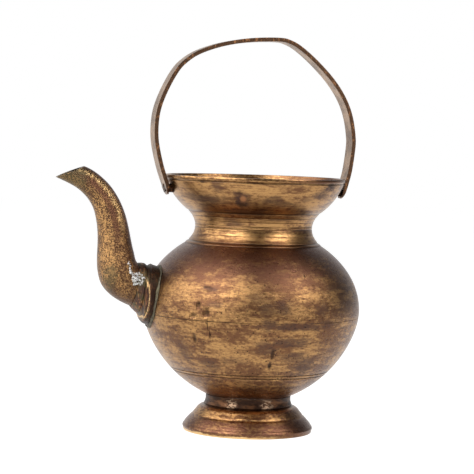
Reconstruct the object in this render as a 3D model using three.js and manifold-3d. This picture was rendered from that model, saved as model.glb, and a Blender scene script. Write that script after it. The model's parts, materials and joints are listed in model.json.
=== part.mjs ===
// A brass water pot with a curved spout, a pedestal foot and a swinging strap handle.
// Millimetres, +Z up. The pot is drawn about its own axis, with the spout towards -X,
// and the finished group is moved along X so that the origin is the middle of its footprint.
import * as THREE from "three";
import { mergeVertices } from "three/addons/utils/BufferGeometryUtils.js";
import Module from "manifold-3d";

const wasm = await Module();
wasm.setup();

// Fits between the pieces
const seatGap = 0.3; // between pieces that rest on a curved or cut face
const turnGap = 0.2; // round the rivets, where the handle turns
const wall = 2.0; // wall of the mouth and bowls
const potSides = 36;
const pinSides = 20;

// Bowls
const bowlClearance = 19.3; // from the ground up to the bottom of the bowl
const lowerDepth = 66.4; // from there up to the widest part of the belly
const bellyRadius = 75.75;
const lowerPower = 1.68; // 2 would be an ellipse, and less is more pointed
const upperRise = 58.0; // half height of the ellipse that makes the shoulder
const seamDrop = 3.5; // from the widest part down to the joint between the bowls
const lapDepth = 3.0; // how far each lapped joint overlaps
const openingEdge = 1.3; // thickness of the upper bowl round its opening
const openingStep = 3.2; // from the shoulder joint in to that opening
const floorRadius = 34.0; // the round bottom is drawn out to this radius
const bandDrop = 42.3; // from the widest part down to a pair of turned lines
const bandSpacing = 2.1;
const lineDepth = 0.5;
const lineHalf = 0.5;

// Neck and mouth
const shoulderRise = 45.1; // from the widest part up to the mouth piece
const neckLineRise = 2.1; // turned line just above that joint
const skirtWall = 1.6;
const waistRadius = 40.85;
const waistRise = 11.9; // from the shoulder joint up to the waist
const flareRadius = 46.0; // where the neck turns into the cup of the mouth
const flareRise = 10.7; // from the waist up to there
const cupHeight = 24.6; // from there up to the rim
const rimRadius = 62.8;
const lipHeight = 2.6; // plain band under the rim
const lipStep = 0.5; // how far the band stands proud of the wall below it
// How the curves of the neck leave their ends: [outwards, upwards]
const shoulderPull = [-3.8, 3.2];
const waistPull = 5.0;
const flareInPull = [-2.2, -2.2];
const flareOutPull = [8.2, 6.0];
const lipPull = [-2.4, -7.6];

// Foot
const footTopRadius = 29.8;
const footStemRadius = 31.0;
const footStemHeight = 18.4; // where the stem meets the spreading base
const footRadius = 45.6;
const footWidestHeight = 3.2;
const footRollDrop = 3.2; // the rolled band ends this far below the stem
const footRollOut = 4.9; // and this far out from it
const footWall = 3.0;
const footEdge = 0.4; // how far the rim of the foot draws in towards the ground
const standWidth = 4.5; // flat ring that the pot stands on
const standInset = 1.6;
const stemPull = [2.2, -0.6];
const rollPull = [-0.6, 1.2];
const spreadPull = [3.3, -4.4];
const edgePull = [-1.0, 3.2];

// Spout. A section is given by its place out beyond the belly, its rise above the belly's
// widest part, its outer radius, its tilt in degrees, and on the collar how far its sides
// are drawn out to clear the round belly.
const spoutWall = 1.9;
const spoutSides = 18;
const spoutHoleRadius = 8.5; // hole in the wall of the upper bowl
const spoutHoleRise = 9.5; // from the belly's widest part up to its middle
const collarTilt = 9;
const collarSections = [
  [-15.75, 6.5, 22.4, collarTilt, 4.5],
  [-2.95, 8.5, 22.4, collarTilt, 4.5],
  [0.25, 10.7, 18.9, collarTilt, 2.6],
  [2.25, 12.3, 17.3, collarTilt, 1.4],
  [2.85, 12.8, 16.7, collarTilt, 1.2],
  [3.45, 13.2, 17.3, collarTilt, 1.0],
  [5.65, 14.5, 16.7, collarTilt, 0.4],
];
const collarEndRadius = 15.2;
const tubeSections = [
  [8.85, 15.8, 14.8, collarTilt],
  [15.6, 20.1, 14.7, 33],
  [19.6, 25.0, 14.7, 50],
  [21.5, 31.6, 13.9, 62],
  [22.4, 38.2, 12.7, 71],
  [23.05, 46.0, 11.5, 78],
  [24.15, 54.3, 10.7, 78],
  [26.05, 62.5, 10.1, 73],
  [29.45, 71.3, 9.3, 66],
  [35.05, 79.5, 8.7, 51],
  [43.05, 86.5, 8.1, 36],
  [51.6, 90.8, 7.4, 24],
  [63.25, 95.0, 6.6, 18],
];
const tubeSteps = 24;
const rootSteps = 2; // steps of the tube that its straight socket bore passes through
const socketWall = 3.3; // wall of the collar round the root of the tube
const tenonLength = 4.0;
const lipCutInner = [46.45, 95.7]; // the mouth of the spout is cut along the line
const lipCutOuter = [65.55, 88.0]; // through these two points
const solderRim = 0.35; // solder left at the edge of the collar
const solderSlope = 0.25; // how much wider it gets for each millimetre in to the belly
const solderSag = 0.64; // how far it runs down, as a share of its width
const lumpThickness = 1.1; // solder over the joint of collar and tube
const lumpRadius = 8.5;
const lumpAngle = 63; // round the joint from its top, towards the near side
const lumpSteps = 4; // steps of the tube that it may cover

// Handle strap and its pivots
const strapWidth = 14.2;
const strapThickness = 2.7;
const strapEnd = 4.3; // from the pivot down to the tip
const strapEndRise = 1.5; // the end starts to round this far above the pivot
const strapCurl = 1.3; // how far the tip bends in for each millimetre down
const padHalf = 3.5; // the inner face is flat this far on each side of the pivot
const padTaper = 0.2; // how fast the hammered end thins towards its tip
const padGap = 0.15; // from the rim out to the strap's inner face at the pivot
const pivotDrop = 9.6; // from the rim down to the pivot
// The hand-bent line of the strap: distance out beyond its pivot, and rise above it
const spoutLimb = [
  [1.7, 8.2],
  [4.6, 17.2],
  [7.8, 31.2],
  [8.4, 43.2],
  [6.9, 54.8],
  [2.3, 67.5],
  [-4.4, 80.2],
  [-10.5, 87.4],
  [-20.3, 94.1],
  [-36.8, 100.1],
  [-56.3, 103.8],
];
const farLimb = [
  [1.2, 8.2],
  [2.9, 15.6],
  [4.5, 28.2],
  [4.8, 38.2],
  [2.1, 53.0],
  [-3.0, 65.3],
  [-11.4, 77.4],
  [-23.2, 89.4],
  [-35.0, 99.0],
  [-43.4, 103.5],
  [-51.9, 105.0],
];
const handleSteps = 44;
const rivetRadius = 2.0;
const rivetHeadRadius = 3.0;
const rivetHeadHeight = 1.2; // the outer head is a cone sunk flush into the strap
const burrHeight = 0.7; // the hammered end inside the mouth
const spacerRadius = 2.9;
const washerRadius = 4.4;
const washerThickness = 1.2;

// Heights and places that follow from the sizes above
const bellyHeight = bowlClearance + lowerDepth;
const seamHeight = bellyHeight - seamDrop;
const bandHeight = bellyHeight - bandDrop;
const shoulderHeight = bellyHeight + shoulderRise;
const waistHeight = shoulderHeight + waistRise;
const flareHeight = waistHeight + flareRise;
const rimHeight = flareHeight + cupHeight;
const lipFoot = rimHeight - lipHeight;
const cupRadius = rimRadius - lipStep;
const pivotHeight = rimHeight - pivotDrop;
const padInner = rimRadius + padGap;
const padMiddle = padInner + strapThickness / 2;
const padOuter = padInner + strapThickness;
const padFace = padOuter - padTaper * padHalf; // outer face at the pivot

// A closed mesh as a solid that can be cut and joined.
function solidOf(geometry) {
  const bare = geometry.index ? geometry.toNonIndexed() : geometry.clone();
  bare.deleteAttribute("normal");
  bare.deleteAttribute("uv");
  const merged = mergeVertices(bare, 1e-4);
  const vertProperties = merged.getAttribute("position").array;
  const triVerts = new Uint32Array(merged.index.array);
  return new wasm.Manifold(new wasm.Mesh({ numProp: 3, vertProperties, triVerts }));
}

function meshOf(name, solid, material) {
  const made = solid.getMesh();
  const geometry = new THREE.BufferGeometry();
  geometry.setAttribute("position", new THREE.BufferAttribute(made.vertProperties, 3));
  geometry.setIndex(new THREE.BufferAttribute(made.triVerts, 1));
  geometry.computeVertexNormals();
  const mesh = new THREE.Mesh(geometry, material);
  mesh.name = name;
  return mesh;
}

// A closed profile of [radius, height] points, turned about the pot's axis.
function turned(profile) {
  const points = profile.map(([r, z]) => new THREE.Vector2(Math.max(r, 0), z));
  if (THREE.ShapeUtils.area(points) < 0) points.reverse();
  points.push(points[0].clone());
  const geometry = new THREE.LatheGeometry(points, potSides);
  geometry.rotateX(Math.PI / 2);
  return solidOf(geometry);
}

// The spout's sections as stations: [distance from the pot's axis, height, radius, ...].
const stationsOf = (sections) =>
  sections.map(([out, rise, ...rest]) => [bellyRadius + out, bellyHeight + rise, ...rest]);

// A bar through round stations.
function lofted(stations) {
  const vertices = [];
  const faces = [];
  for (const [out, height, radius, tilt, saddle = 0] of stations) {
    const turn = THREE.MathUtils.degToRad(tilt);
    for (let k = 0; k < spoutSides; k++) {
      const angle = (2 * Math.PI * k) / spoutSides;
      const up = radius * Math.cos(angle);
      const along = saddle * Math.sin(angle) ** 2;
      vertices.push(
        -out + up * Math.sin(turn) - along * Math.cos(turn),
        radius * Math.sin(angle),
        height + up * Math.cos(turn) + along * Math.sin(turn),
      );
    }
  }
  for (let i = 0; i + 1 < stations.length; i++) {
    for (let k = 0; k < spoutSides; k++) {
      const a = i * spoutSides + k;
      const b = i * spoutSides + ((k + 1) % spoutSides);
      faces.push(a, b, b + spoutSides, a, b + spoutSides, a + spoutSides);
    }
  }
  const last = (stations.length - 1) * spoutSides;
  for (let k = 1; k + 1 < spoutSides; k++) {
    faces.push(0, k + 1, k, last, last + k, last + k + 1);
  }
  const geometry = new THREE.BufferGeometry();
  geometry.setAttribute("position", new THREE.Float32BufferAttribute(vertices, 3));
  geometry.setIndex(faces);
  return solidOf(geometry);
}

// Every size of the stations, eased from one to the next in a number of steps.
function smoothed(stations, steps) {
  const places = stations.map((_, i) => i);
  const between = new THREE.CubicInterpolant(places, stations.flat(), stations[0].length);
  return Array.from({ length: steps + 1 }, (_, i) => [
    ...between.evaluate((i / steps) * (stations.length - 1)),
  ]);
}

const grown = (stations, extra) =>
  stations.map(([out, height, radius, ...rest]) => [out, height, radius + extra, ...rest]);

// A station moved along its own direction.
function ahead([out, height, radius, tilt], distance, newRadius = radius) {
  const turn = THREE.MathUtils.degToRad(tilt);
  return [out + distance * Math.cos(turn), height + distance * Math.sin(turn), newRadius, tilt];
}

// A bar along X at the height of the pivots, or a cone that ends at another radius.
function bar(radius, from, to, toRadius = radius) {
  const cylinder = new THREE.CylinderGeometry(radius, toRadius, to - from, pinSides);
  cylinder.rotateZ(Math.PI / 2);
  cylinder.translate((from + to) / 2, 0, pivotHeight);
  return solidOf(cylinder);
}

// A slab through a pivot, leaning out as it rises, from one distance outwards to another.
function slab(middle, lean, from, to) {
  const reach = 8 * rivetHeadRadius;
  const box = new THREE.BoxGeometry(to - from, reach, reach);
  box.translate((from + to) / 2, 0, 0);
  box.rotateY(Math.atan(lean));
  box.translate(middle, 0, pivotHeight);
  return solidOf(box);
}

// A curve from one point to another, pulled at each end by an [outwards, upwards] handle.
function eased(start, startPull, endPull, end, steps) {
  const [a, b] = [start, end].map((p) => new THREE.Vector2(...p));
  const leave = a.clone().add(new THREE.Vector2(...startPull));
  const arrive = b.clone().add(new THREE.Vector2(...endPull));
  const curve = new THREE.CubicBezierCurve(a, leave, arrive, b);
  return curve.getPoints(steps).map((p) => [p.x, p.y]);
}

// Outer radius of the belly at a height.
function bellyAt(height) {
  const share =
    height < bellyHeight
      ? ((bellyHeight - height) / lowerDepth) ** lowerPower
      : ((height - bellyHeight) / upperRise) ** 2;
  return bellyRadius * Math.sqrt(Math.max(1 - share, 0));
}

// Height of the bowl's underside at a radius.
function undersideAt(radius) {
  const share = 1 - (radius / bellyRadius) ** 2;
  return bellyHeight - lowerDepth * share ** (1 / lowerPower);
}

function bellyLine(from, to, steps) {
  return Array.from({ length: steps + 1 }, (_, i) => {
    const height = from + ((to - from) * i) / steps;
    return [bellyAt(height), height];
  });
}

// A line moved sideways by a distance, square to itself.
function offset(line, distance) {
  return line.map(([r, z], i) => {
    const before = line[Math.max(i - 1, 0)];
    const after = line[Math.min(i + 1, line.length - 1)];
    const across = new THREE.Vector2(after[1] - before[1], before[0] - after[0]).normalize();
    return [r + across.x * distance, z + across.y * distance];
  });
}

// A small turned line cut into an outer face.
function turnedLine(radiusAt, height) {
  return [
    [radiusAt(height - lineHalf), height - lineHalf],
    [radiusAt(height) - lineDepth, height],
    [radiusAt(height + lineHalf), height + lineHalf],
  ];
}

// Outer line of the neck and the cup of the mouth, up to the band under the rim.
const shoulderRadius = bellyAt(shoulderHeight);
const shoulder = [shoulderRadius, shoulderHeight];
const waist = [waistRadius, waistHeight];
const flare = [flareRadius, flareHeight];
const mouthLine = [
  ...eased(shoulder, shoulderPull, [0, -waistPull], waist, 5),
  ...eased(waist, [0, waistPull], flareInPull, flare, 3).slice(1),
  ...eased(flare, flareOutPull, lipPull, [cupRadius, lipFoot], 5).slice(1),
];

// Outer radius of the neck and mouth at a height.
function mouthAt(height) {
  const next = Math.max(
    mouthLine.findIndex(([, z]) => z >= height),
    1,
  );
  const [r1, z1] = mouthLine[next];
  const [r0, z0] = mouthLine[next - 1];
  return r0 + ((r1 - r0) * (height - z0)) / (z1 - z0);
}

const wallAtPivot = mouthAt(pivotHeight);
const wallLean = (mouthAt(pivotHeight + wall) - mouthAt(pivotHeight - wall)) / (2 * wall);
const wallMiddle = wallAtPivot - wall / 2;

// Everything inside the pot's outer face, grown by a clearance.
function potSpace(grow) {
  const belly = bellyLine(bandHeight, shoulderHeight, 20);
  return turned([
    [0, bandHeight],
    ...offset([...belly, ...mouthLine.slice(1)], grow),
    [0, lipFoot],
  ]);
}

// The hollow of the mouth, shrunk by a clearance.
function mouthSpace(shrink) {
  const inner = offset(mouthLine, -wall - shrink).filter(([, z]) => z > waistHeight);
  return turned([[0, inner[0][1]], ...inner, [0, inner.at(-1)[1]]]);
}

function makeMouth() {
  const lineHeight = shoulderHeight + neckLineRise;
  const lineTop = lineHeight + lineHalf;
  const skirtRadius = shoulderRadius - openingStep - seatGap;
  const inner = offset(mouthLine, -wall).filter(([, z]) => z > lineTop);
  const body = turned([
    mouthLine[0],
    ...turnedLine(mouthAt, lineHeight),
    ...mouthLine.filter(([, z]) => z > lineTop),
    [rimRadius, lipFoot + lipStep],
    [rimRadius, rimHeight],
    [cupRadius - wall, rimHeight],
    ...inner.reverse(),
    [skirtRadius - skirtWall, shoulderHeight],
    [skirtRadius - skirtWall, shoulderHeight - lapDepth],
    [skirtRadius, shoulderHeight - lapDepth],
    [skirtRadius, shoulderHeight],
  ]);
  const hole = rivetRadius + turnGap;
  return body
    .subtract(bar(hole, -rimRadius, -waistRadius))
    .subtract(bar(hole, waistRadius, rimRadius));
}

function makeUpperBowl() {
  const ledge = seamHeight + lapDepth + seatGap;
  const rebate = bellyAt(seamHeight) - wall / 2;
  const opening = shoulderRadius - openingStep;
  const inner = offset(bellyLine(ledge, shoulderHeight, 6), -wall);
  const body = turned([
    ...bellyLine(seamHeight, shoulderHeight, 9),
    [opening, shoulderHeight],
    [opening, shoulderHeight - openingEdge],
    ...inner.slice(1, -1).reverse(),
    [bellyAt(ledge) - wall, ledge],
    [rebate, ledge],
    [rebate, seamHeight],
  ]);
  const holeHeight = bellyHeight + spoutHoleRise;
  const start = [shoulderRadius, holeHeight, spoutHoleRadius, collarTilt];
  return body.subtract(lofted([start, ahead(start, bellyRadius)]));
}

function makeLowerBowl() {
  const lowLine = bandHeight - bandSpacing / 2;
  const highLine = bandHeight + bandSpacing / 2;
  const bottom = [0, 0.25, 0.5, 0.75].map((share) => [
    share * floorRadius,
    undersideAt(share * floorRadius),
  ]);
  const flank = bellyLine(undersideAt(floorRadius), lowLine - 2 * lineHalf, 2);
  const belly = bellyLine(highLine + 2 * lineHalf, seamHeight, 6);
  const inner = offset([...bottom, ...flank, ...belly], -wall).slice(1, -1);
  const tongue = bellyAt(seamHeight) - wall / 2 - seatGap;
  return turned([
    ...bottom,
    ...flank,
    ...turnedLine(bellyAt, lowLine),
    ...turnedLine(bellyAt, highLine),
    ...belly,
    [tongue, seamHeight],
    [tongue, seamHeight + lapDepth],
    [tongue - wall / 2, seamHeight + lapDepth],
    ...inner.reverse(),
    [0, undersideAt(0) + wall],
  ]);
}

function makeFoot() {
  const seat = (radius) => [radius, undersideAt(radius) - seatGap];
  const stem = [footStemRadius, footStemHeight];
  const rollFoot = [footStemRadius + footRollOut, footStemHeight - footRollDrop];
  const roll = eased(stem, stemPull, rollPull, rollFoot, 3);
  const spread = eased(rollFoot, spreadPull, edgePull, [footRadius, footWidestHeight], 5);
  const stand = footRadius - standInset;
  const hollowTop = footTopRadius - footWall;
  const hollowFoot = stand - standWidth;
  return turned([
    [stand, 0],
    [footRadius - footEdge, footWidestHeight / 2],
    ...[...roll, ...spread.slice(1)].reverse(),
    [footTopRadius, (footStemHeight + undersideAt(footTopRadius)) / 2],
    seat(footTopRadius),
    seat(hollowTop),
    [hollowTop, footStemHeight],
    [rollFoot[0] - 2 * footWall, rollFoot[1]],
    [hollowFoot - footWall, footWidestHeight + footWall],
    [hollowFoot, 0],
  ]);
}

const collarStations = stationsOf(collarSections);
const tubeStations = stationsOf(tubeSections);
const jointStation = tubeStations[0];
const collarEnd = ahead(jointStation, -seatGap, collarEndRadius);
const socketRadius = collarEndRadius - socketWall;

function makeCollar() {
  const outside = lofted([...collarStations, collarEnd]);
  const [inside, rim] = collarStations;
  const bore = lofted([
    ahead(inside, -1, socketRadius),
    ahead(rim, 0, socketRadius),
    ahead(jointStation, -tenonLength - 1, socketRadius),
    ahead(jointStation, 1, socketRadius),
  ]);
  return outside.subtract(bore).subtract(potSpace(seatGap));
}

// Everything above the slanting cut of the spout's mouth.
function aboveLip() {
  const [[u0, z0], [u1, z1]] = stationsOf([lipCutInner, lipCutOuter]);
  const reach = 6 * Math.hypot(u1 - u0, z1 - z0);
  const box = new THREE.BoxGeometry(reach, reach, reach);
  box.translate(0, 0, reach / 2);
  box.rotateY(Math.atan2(z1 - z0, u1 - u0));
  box.translate(-(u0 + u1) / 2, 0, (z0 + z1) / 2);
  return solidOf(box);
}

function makeTube() {
  const line = smoothed(tubeStations, tubeSteps);
  const tenonRadius = socketRadius - seatGap;
  const boreRadius = tenonRadius - spoutWall;
  const tenon = lofted([
    ahead(jointStation, -tenonLength, tenonRadius),
    ahead(jointStation, 1, tenonRadius),
  ]);
  const bore = lofted([
    ahead(jointStation, -tenonLength - 1, boreRadius),
    ahead(jointStation, 1, boreRadius),
    ...grown(line.slice(rootSteps), -spoutWall),
  ]);
  return lofted(line).add(tenon).subtract(bore).subtract(aboveLip());
}

// Solder run round the collar where it sits on the belly.
function makeFillet() {
  const [inside, rim] = collarStations;
  const run = ([out, height, radius, tilt, saddle]) => {
    const width = solderRim + solderSlope * (rim[0] - out);
    return [out, height - solderSag * width, radius + seatGap + width, tilt, saddle];
  };
  const deeper = ahead(inside, -collarEndRadius);
  const collarSpace = lofted(grown([deeper, rim, collarStations[2]], seatGap));
  return lofted([run(inside), run(rim)]).subtract(collarSpace).subtract(potSpace(seatGap));
}

// A lump of solder over the top and near side of the joint of collar and tube.
function makeLump() {
  const root = smoothed(tubeStations, tubeSteps).slice(0, lumpSteps + 1);
  const covered = [...collarStations.slice(-3), collarEnd, ...root];
  const under = lofted(grown(covered, seatGap));
  const over = lofted(grown(covered.slice(1, -1), seatGap + lumpThickness));
  const [out, height, , tilt] = jointStation;
  const round = THREE.MathUtils.degToRad(lumpAngle);
  const turn = THREE.MathUtils.degToRad(tilt);
  const up = collarEndRadius * Math.cos(round);
  const ball = new THREE.SphereGeometry(lumpRadius, pinSides, pinSides / 2);
  ball.translate(
    -out + up * Math.sin(turn),
    -collarEndRadius * Math.sin(round),
    height + up * Math.cos(turn),
  );
  return over.subtract(under).intersect(solidOf(ball));
}

// The pieces of one pivot are drawn at +X, and turned round for the spout's side.
const atSide = (solid, side) => (side < 0 ? solid.rotate([0, 0, 180]) : solid);

// A point of one end of the strap: distance out from a face, and rise above the pivot.
const onEnd = (side, face, out, rise) => [side * (face + out), pivotHeight + rise];

// The rivet's sunk head, or the seat for it in the strap.
const sunkHead = (extra) =>
  bar(
    rivetRadius + extra,
    padFace - rivetHeadHeight,
    padFace + rivetHeadHeight,
    2 * rivetHeadRadius - rivetRadius + extra,
  );

// A strap bent along the handle's line, cut to width, with round ends and pivot holes.
function makeHandle() {
  const limb = (points, side) => points.map((p) => onEnd(side, padMiddle, ...p));
  const loop = [
    onEnd(-1, padMiddle, 0, padHalf),
    ...limb(spoutLimb, -1),
    ...limb(farLimb, 1).reverse(),
    onEnd(1, padMiddle, 0, padHalf),
  ];
  const bent = new THREE.SplineCurve(loop.map((p) => new THREE.Vector2(...p)));
  const middle = bent.getSpacedPoints(handleSteps).map((p) => [p.x, p.y]);
  const lowest = -padHalf - strapEnd;
  const innerEnd = (side) => [
    onEnd(side, padInner, -strapCurl * strapEnd, lowest),
    onEnd(side, padInner, 0, -padHalf),
  ];
  const outerTip = (side) => onEnd(side, padOuter, padTaper * (lowest - padHalf), lowest);
  const section = [
    outerTip(-1),
    ...offset(middle, -strapThickness / 2),
    outerTip(1),
    ...innerEnd(1),
    ...offset(middle, strapThickness / 2).reverse(),
    ...innerEnd(-1).reverse(),
  ];
  const side = new THREE.Shape(section.map((p) => new THREE.Vector2(...p)));
  const strip = new THREE.ExtrudeGeometry(side, { depth: strapWidth, bevelEnabled: false });
  strip.translate(0, 0, -strapWidth / 2);
  strip.rotateX(Math.PI / 2);

  const half = strapWidth / 2;
  const top = Math.max(...middle.map(([, z]) => z)) + strapWidth;
  const endTop = pivotHeight + strapEndRise;
  const face = new THREE.Shape();
  face.moveTo(-half, top);
  face.lineTo(-half, endTop);
  face.absellipse(0, endTop, half, strapEnd + strapEndRise, Math.PI, 2 * Math.PI, false, 0);
  face.lineTo(half, top);
  const span = 3 * padOuter;
  const front = new THREE.ExtrudeGeometry(face, {
    depth: span,
    bevelEnabled: false,
    curveSegments: 12,
  });
  front.translate(0, 0, -span / 2);
  front.rotateX(Math.PI / 2);
  front.rotateZ(Math.PI / 2);

  const hole = bar(rivetRadius + turnGap, padInner - strapThickness, padOuter);
  const pivot = hole.add(sunkHead(seatGap));
  return solidOf(strip)
    .intersect(solidOf(front))
    .subtract(atSide(pivot, 1))
    .subtract(atSide(pivot, -1));
}

const washerInner = -(wall / 2 + seatGap + washerThickness);

function makeRivet(side) {
  const tail = washerInner - seatGap;
  const shank = bar(rivetRadius, wallMiddle + tail, padFace - rivetHeadHeight / 2);
  const head = sunkHead(0).intersect(bar(2 * rivetHeadRadius, 0, padFace));
  const burr = bar(rivetHeadRadius, waistRadius, rimRadius).intersect(
    slab(wallMiddle, wallLean, tail - burrHeight, tail),
  );
  return atSide(shank.add(head).add(burr), side);
}

function makeSpacer(side) {
  const ring = bar(spacerRadius, waistRadius, padInner - turnGap)
    .subtract(bar(rivetRadius + turnGap, 0, padOuter))
    .subtract(potSpace(seatGap));
  return atSide(ring, side);
}

function makeWasher(side) {
  const ring = bar(washerRadius, waistRadius, rimRadius)
    .subtract(bar(rivetRadius + turnGap, 0, padOuter))
    .intersect(slab(wallMiddle, wallLean, washerInner, wall))
    .intersect(mouthSpace(seatGap));
  return atSide(ring, side);
}

const metal = (color, roughness) =>
  new THREE.MeshStandardMaterial({ color, roughness, metalness: 1 });
const agedBrass = metal(0x9a6d3a, 0.38);
const brightBrass = metal(0xb08a45, 0.3);
const darkBrass = metal(0x7b5736, 0.42);
const strapBrass = metal(0x6f5440, 0.45);
const rivetBrass = metal(0x5c4632, 0.5);
const greySolder = metal(0x7c7a6c, 0.6);

const pot = new THREE.Group();
pot.add(
  meshOf("mouth_collar", makeMouth(), brightBrass),
  meshOf("upper_bowl", makeUpperBowl(), agedBrass),
  meshOf("lower_bowl", makeLowerBowl(), agedBrass),
  meshOf("foot", makeFoot(), darkBrass),
  meshOf("spout_collar", makeCollar(), darkBrass),
  meshOf("spout_tube", makeTube(), agedBrass),
  meshOf("collar_solder", makeFillet(), greySolder),
  meshOf("spout_solder", makeLump(), greySolder),
  meshOf("bail_handle", makeHandle(), strapBrass),
);
for (const [name, side] of [
  ["spout_side", -1],
  ["far_side", 1],
]) {
  pot.add(
    meshOf("rivet_" + name, makeRivet(side), rivetBrass),
    meshOf("spacer_" + name, makeSpacer(side), rivetBrass),
    meshOf("washer_" + name, makeWasher(side), rivetBrass),
  );
}

const box = new THREE.Box3().setFromObject(pot, true);
pot.position.set(-(box.min.x + box.max.x) / 2, 0, -box.min.z);

export default pot;
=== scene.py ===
"""The looks of a brass water pot with a curved spout and a swinging strap handle."""

import json
from collections import namedtuple
from math import atan2, copysign, cos, exp, pi, radians, sin, sqrt

import bpy
from bpy.props import FloatProperty, FloatVectorProperty, IntProperty, PointerProperty
from mathutils import Matrix, Vector
from mathutils.geometry import interpolate_bezier


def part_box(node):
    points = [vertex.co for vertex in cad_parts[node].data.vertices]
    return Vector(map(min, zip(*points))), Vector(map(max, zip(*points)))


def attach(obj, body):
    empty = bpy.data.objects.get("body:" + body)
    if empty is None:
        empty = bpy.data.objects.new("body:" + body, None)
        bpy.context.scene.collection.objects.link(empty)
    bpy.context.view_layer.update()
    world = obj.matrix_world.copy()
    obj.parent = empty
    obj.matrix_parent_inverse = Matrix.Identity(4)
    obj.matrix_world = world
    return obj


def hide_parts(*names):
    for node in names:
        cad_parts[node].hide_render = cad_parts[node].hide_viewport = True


bl_info = {
    "name": "Brass spouted water pot",
    "version": (1, 0, 0),
    "blender": (4, 5, 0),
    "location": "3D View > Sidebar > Water pot",
    "description": "Turns, casts and bends the pieces of an old brass pot round its frame",
    "category": "Object",
}

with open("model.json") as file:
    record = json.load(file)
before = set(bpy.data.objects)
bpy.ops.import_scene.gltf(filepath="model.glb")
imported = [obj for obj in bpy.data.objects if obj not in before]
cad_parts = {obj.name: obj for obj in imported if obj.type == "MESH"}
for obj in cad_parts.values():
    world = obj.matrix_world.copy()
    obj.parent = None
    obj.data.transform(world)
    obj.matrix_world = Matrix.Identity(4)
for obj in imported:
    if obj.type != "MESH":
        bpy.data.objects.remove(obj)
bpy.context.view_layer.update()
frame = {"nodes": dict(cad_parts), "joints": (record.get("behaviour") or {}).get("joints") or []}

# Places read from the frame, in metres
BOWL_LOW, BOWL_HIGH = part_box("lower_bowl")
AXIS = (BOWL_LOW.x + BOWL_HIGH.x) / 2
BOWL_FLOOR = BOWL_LOW.z
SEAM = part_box("upper_bowl")[0].z
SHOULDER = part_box("upper_bowl")[1].z
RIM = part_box("mouth_collar")[1].z
PIVOT = Vector(frame["joints"][0]["pos_m"])

MERGE = 0.00001  # vertices closer than this are one
START = 0.001  # a piece starts from a plane of this size
SHARP = 35  # degrees between faces above which an edge stays sharp
TURN_STEPS = 240  # faces round a turned piece

JOINT_GAP = 0.0003  # between two turned pieces
DRILL_STEPS = 40  # faces round a pivot hole
BORE_SIDES = 48  # faces round the hole into the spout
BORE_DEPTH = 0.03  # length of the drill for that hole, a sixth of it beyond the joint
SOLDER_STEPS = 160  # faces round the bead of solder
STRAP_STEPS = 160  # sections along the bent strap
STRAP_ROWS = 16  # faces across it
CRUMB_SHAPE = (1.5, 1.1, 0.7)  # a crumb of tin is flat and a little long
TIN_VOXEL = 0.00016  # the crumbs run together on a grid of this size

# The photo's width and height in pixels, and where the camera's own axis meets it
PICTURE = 474
PICTURE_MIDDLE = (253.2, 236.2)
SENSOR = 36  # width of the camera's sensor in millimetres
FAR = 50  # the camera sees this far, in metres
FLOOR_SIZE = 8
FLOOR_DROP = 0.0002  # the floor lies this far under the foot
FLOOR_GLOW = 0.95  # it shows white to the camera

LAMP_DISTANCE = 1.0
# Name, degrees to the side of the camera and up, width and height, share of the brightness
LAMPS = [
    ("left_box", -37, 35, (0.5, 0.8), 1.0),
    ("left_screen", -84, 30, (0.9, 0.9), 0.45),
    ("right_box", 60, 38, (0.42, 0.8), 1.0),
]

Cut = namedtuple("Cut", "height half depth")
Stain = namedtuple("Stain", "angle height width tall strength")
Dent = namedtuple("Dent", "angle height width tall depth")


def length(default, label):
    """A size that a user may change."""
    return FloatProperty(name=label, default=default, unit="LENGTH", precision=5)


def number(default, label):
    return FloatProperty(name=label, default=default)


def angle(default, label):
    return FloatProperty(name=label, default=radians(default), subtype="ANGLE")


def colour(default, label):
    return FloatVectorProperty(name=label, default=default, subtype="COLOR", size=3, min=0, max=1)


class BowlSizes(bpy.types.PropertyGroup):
    belly_radius: length(0.07572, "Radius at the widest part")
    belly_rise: length(0.0664, "From the bottom of the bowl up to its widest part")
    shoulder_half: length(0.058, "Half height of the upper ellipse")
    fullness: number(1.68, "Power of the lower curve, 2 is an ellipse")
    wall: length(0.002, "Thickness of the bowls")
    lap: length(0.003, "How far the lapped joints overlap")
    floor_radius: length(0.034, "The round bottom is drawn out to here")
    band_drop: length(0.0423, "From the widest part down to the turned lines")
    band_spacing: length(0.0021, "Between the two turned lines")
    line_half: length(0.0005, "Half width of a turned line")
    line_depth: length(0.00045, "Depth of a turned line")
    opening_step: length(0.0032, "From the shoulder joint in to the opening")
    opening_edge: length(0.0013, "Thickness round the opening")
    spout_hole: length(0.0085, "Radius of the hole into the spout")
    seam_edge: length(0.00016, "Worn edge along the joint of the bowls")


class MouthSizes(bpy.types.PropertyGroup):
    waist_radius: length(0.04085, "Narrowest radius of the neck")
    waist_rise: length(0.0119, "From the shoulder joint up to the waist")
    flare_radius: length(0.046, "Where the neck turns into the cup")
    flare_rise: length(0.0107, "From the waist up to the cup")
    rim_radius: length(0.0628, "Outer radius of the lip")
    lip_height: length(0.0026, "Plain band under the rim")
    lip_step: length(0.0005, "How far the band stands proud")
    lip_round: length(0.0006, "Rounding of the lip's edges")
    wall: length(0.002, "Thickness of the cup")
    skirt_wall: length(0.0016, "Thickness inside the lapped joint")
    line_rise: length(0.0021, "From the shoulder joint up to the turned line")


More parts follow.
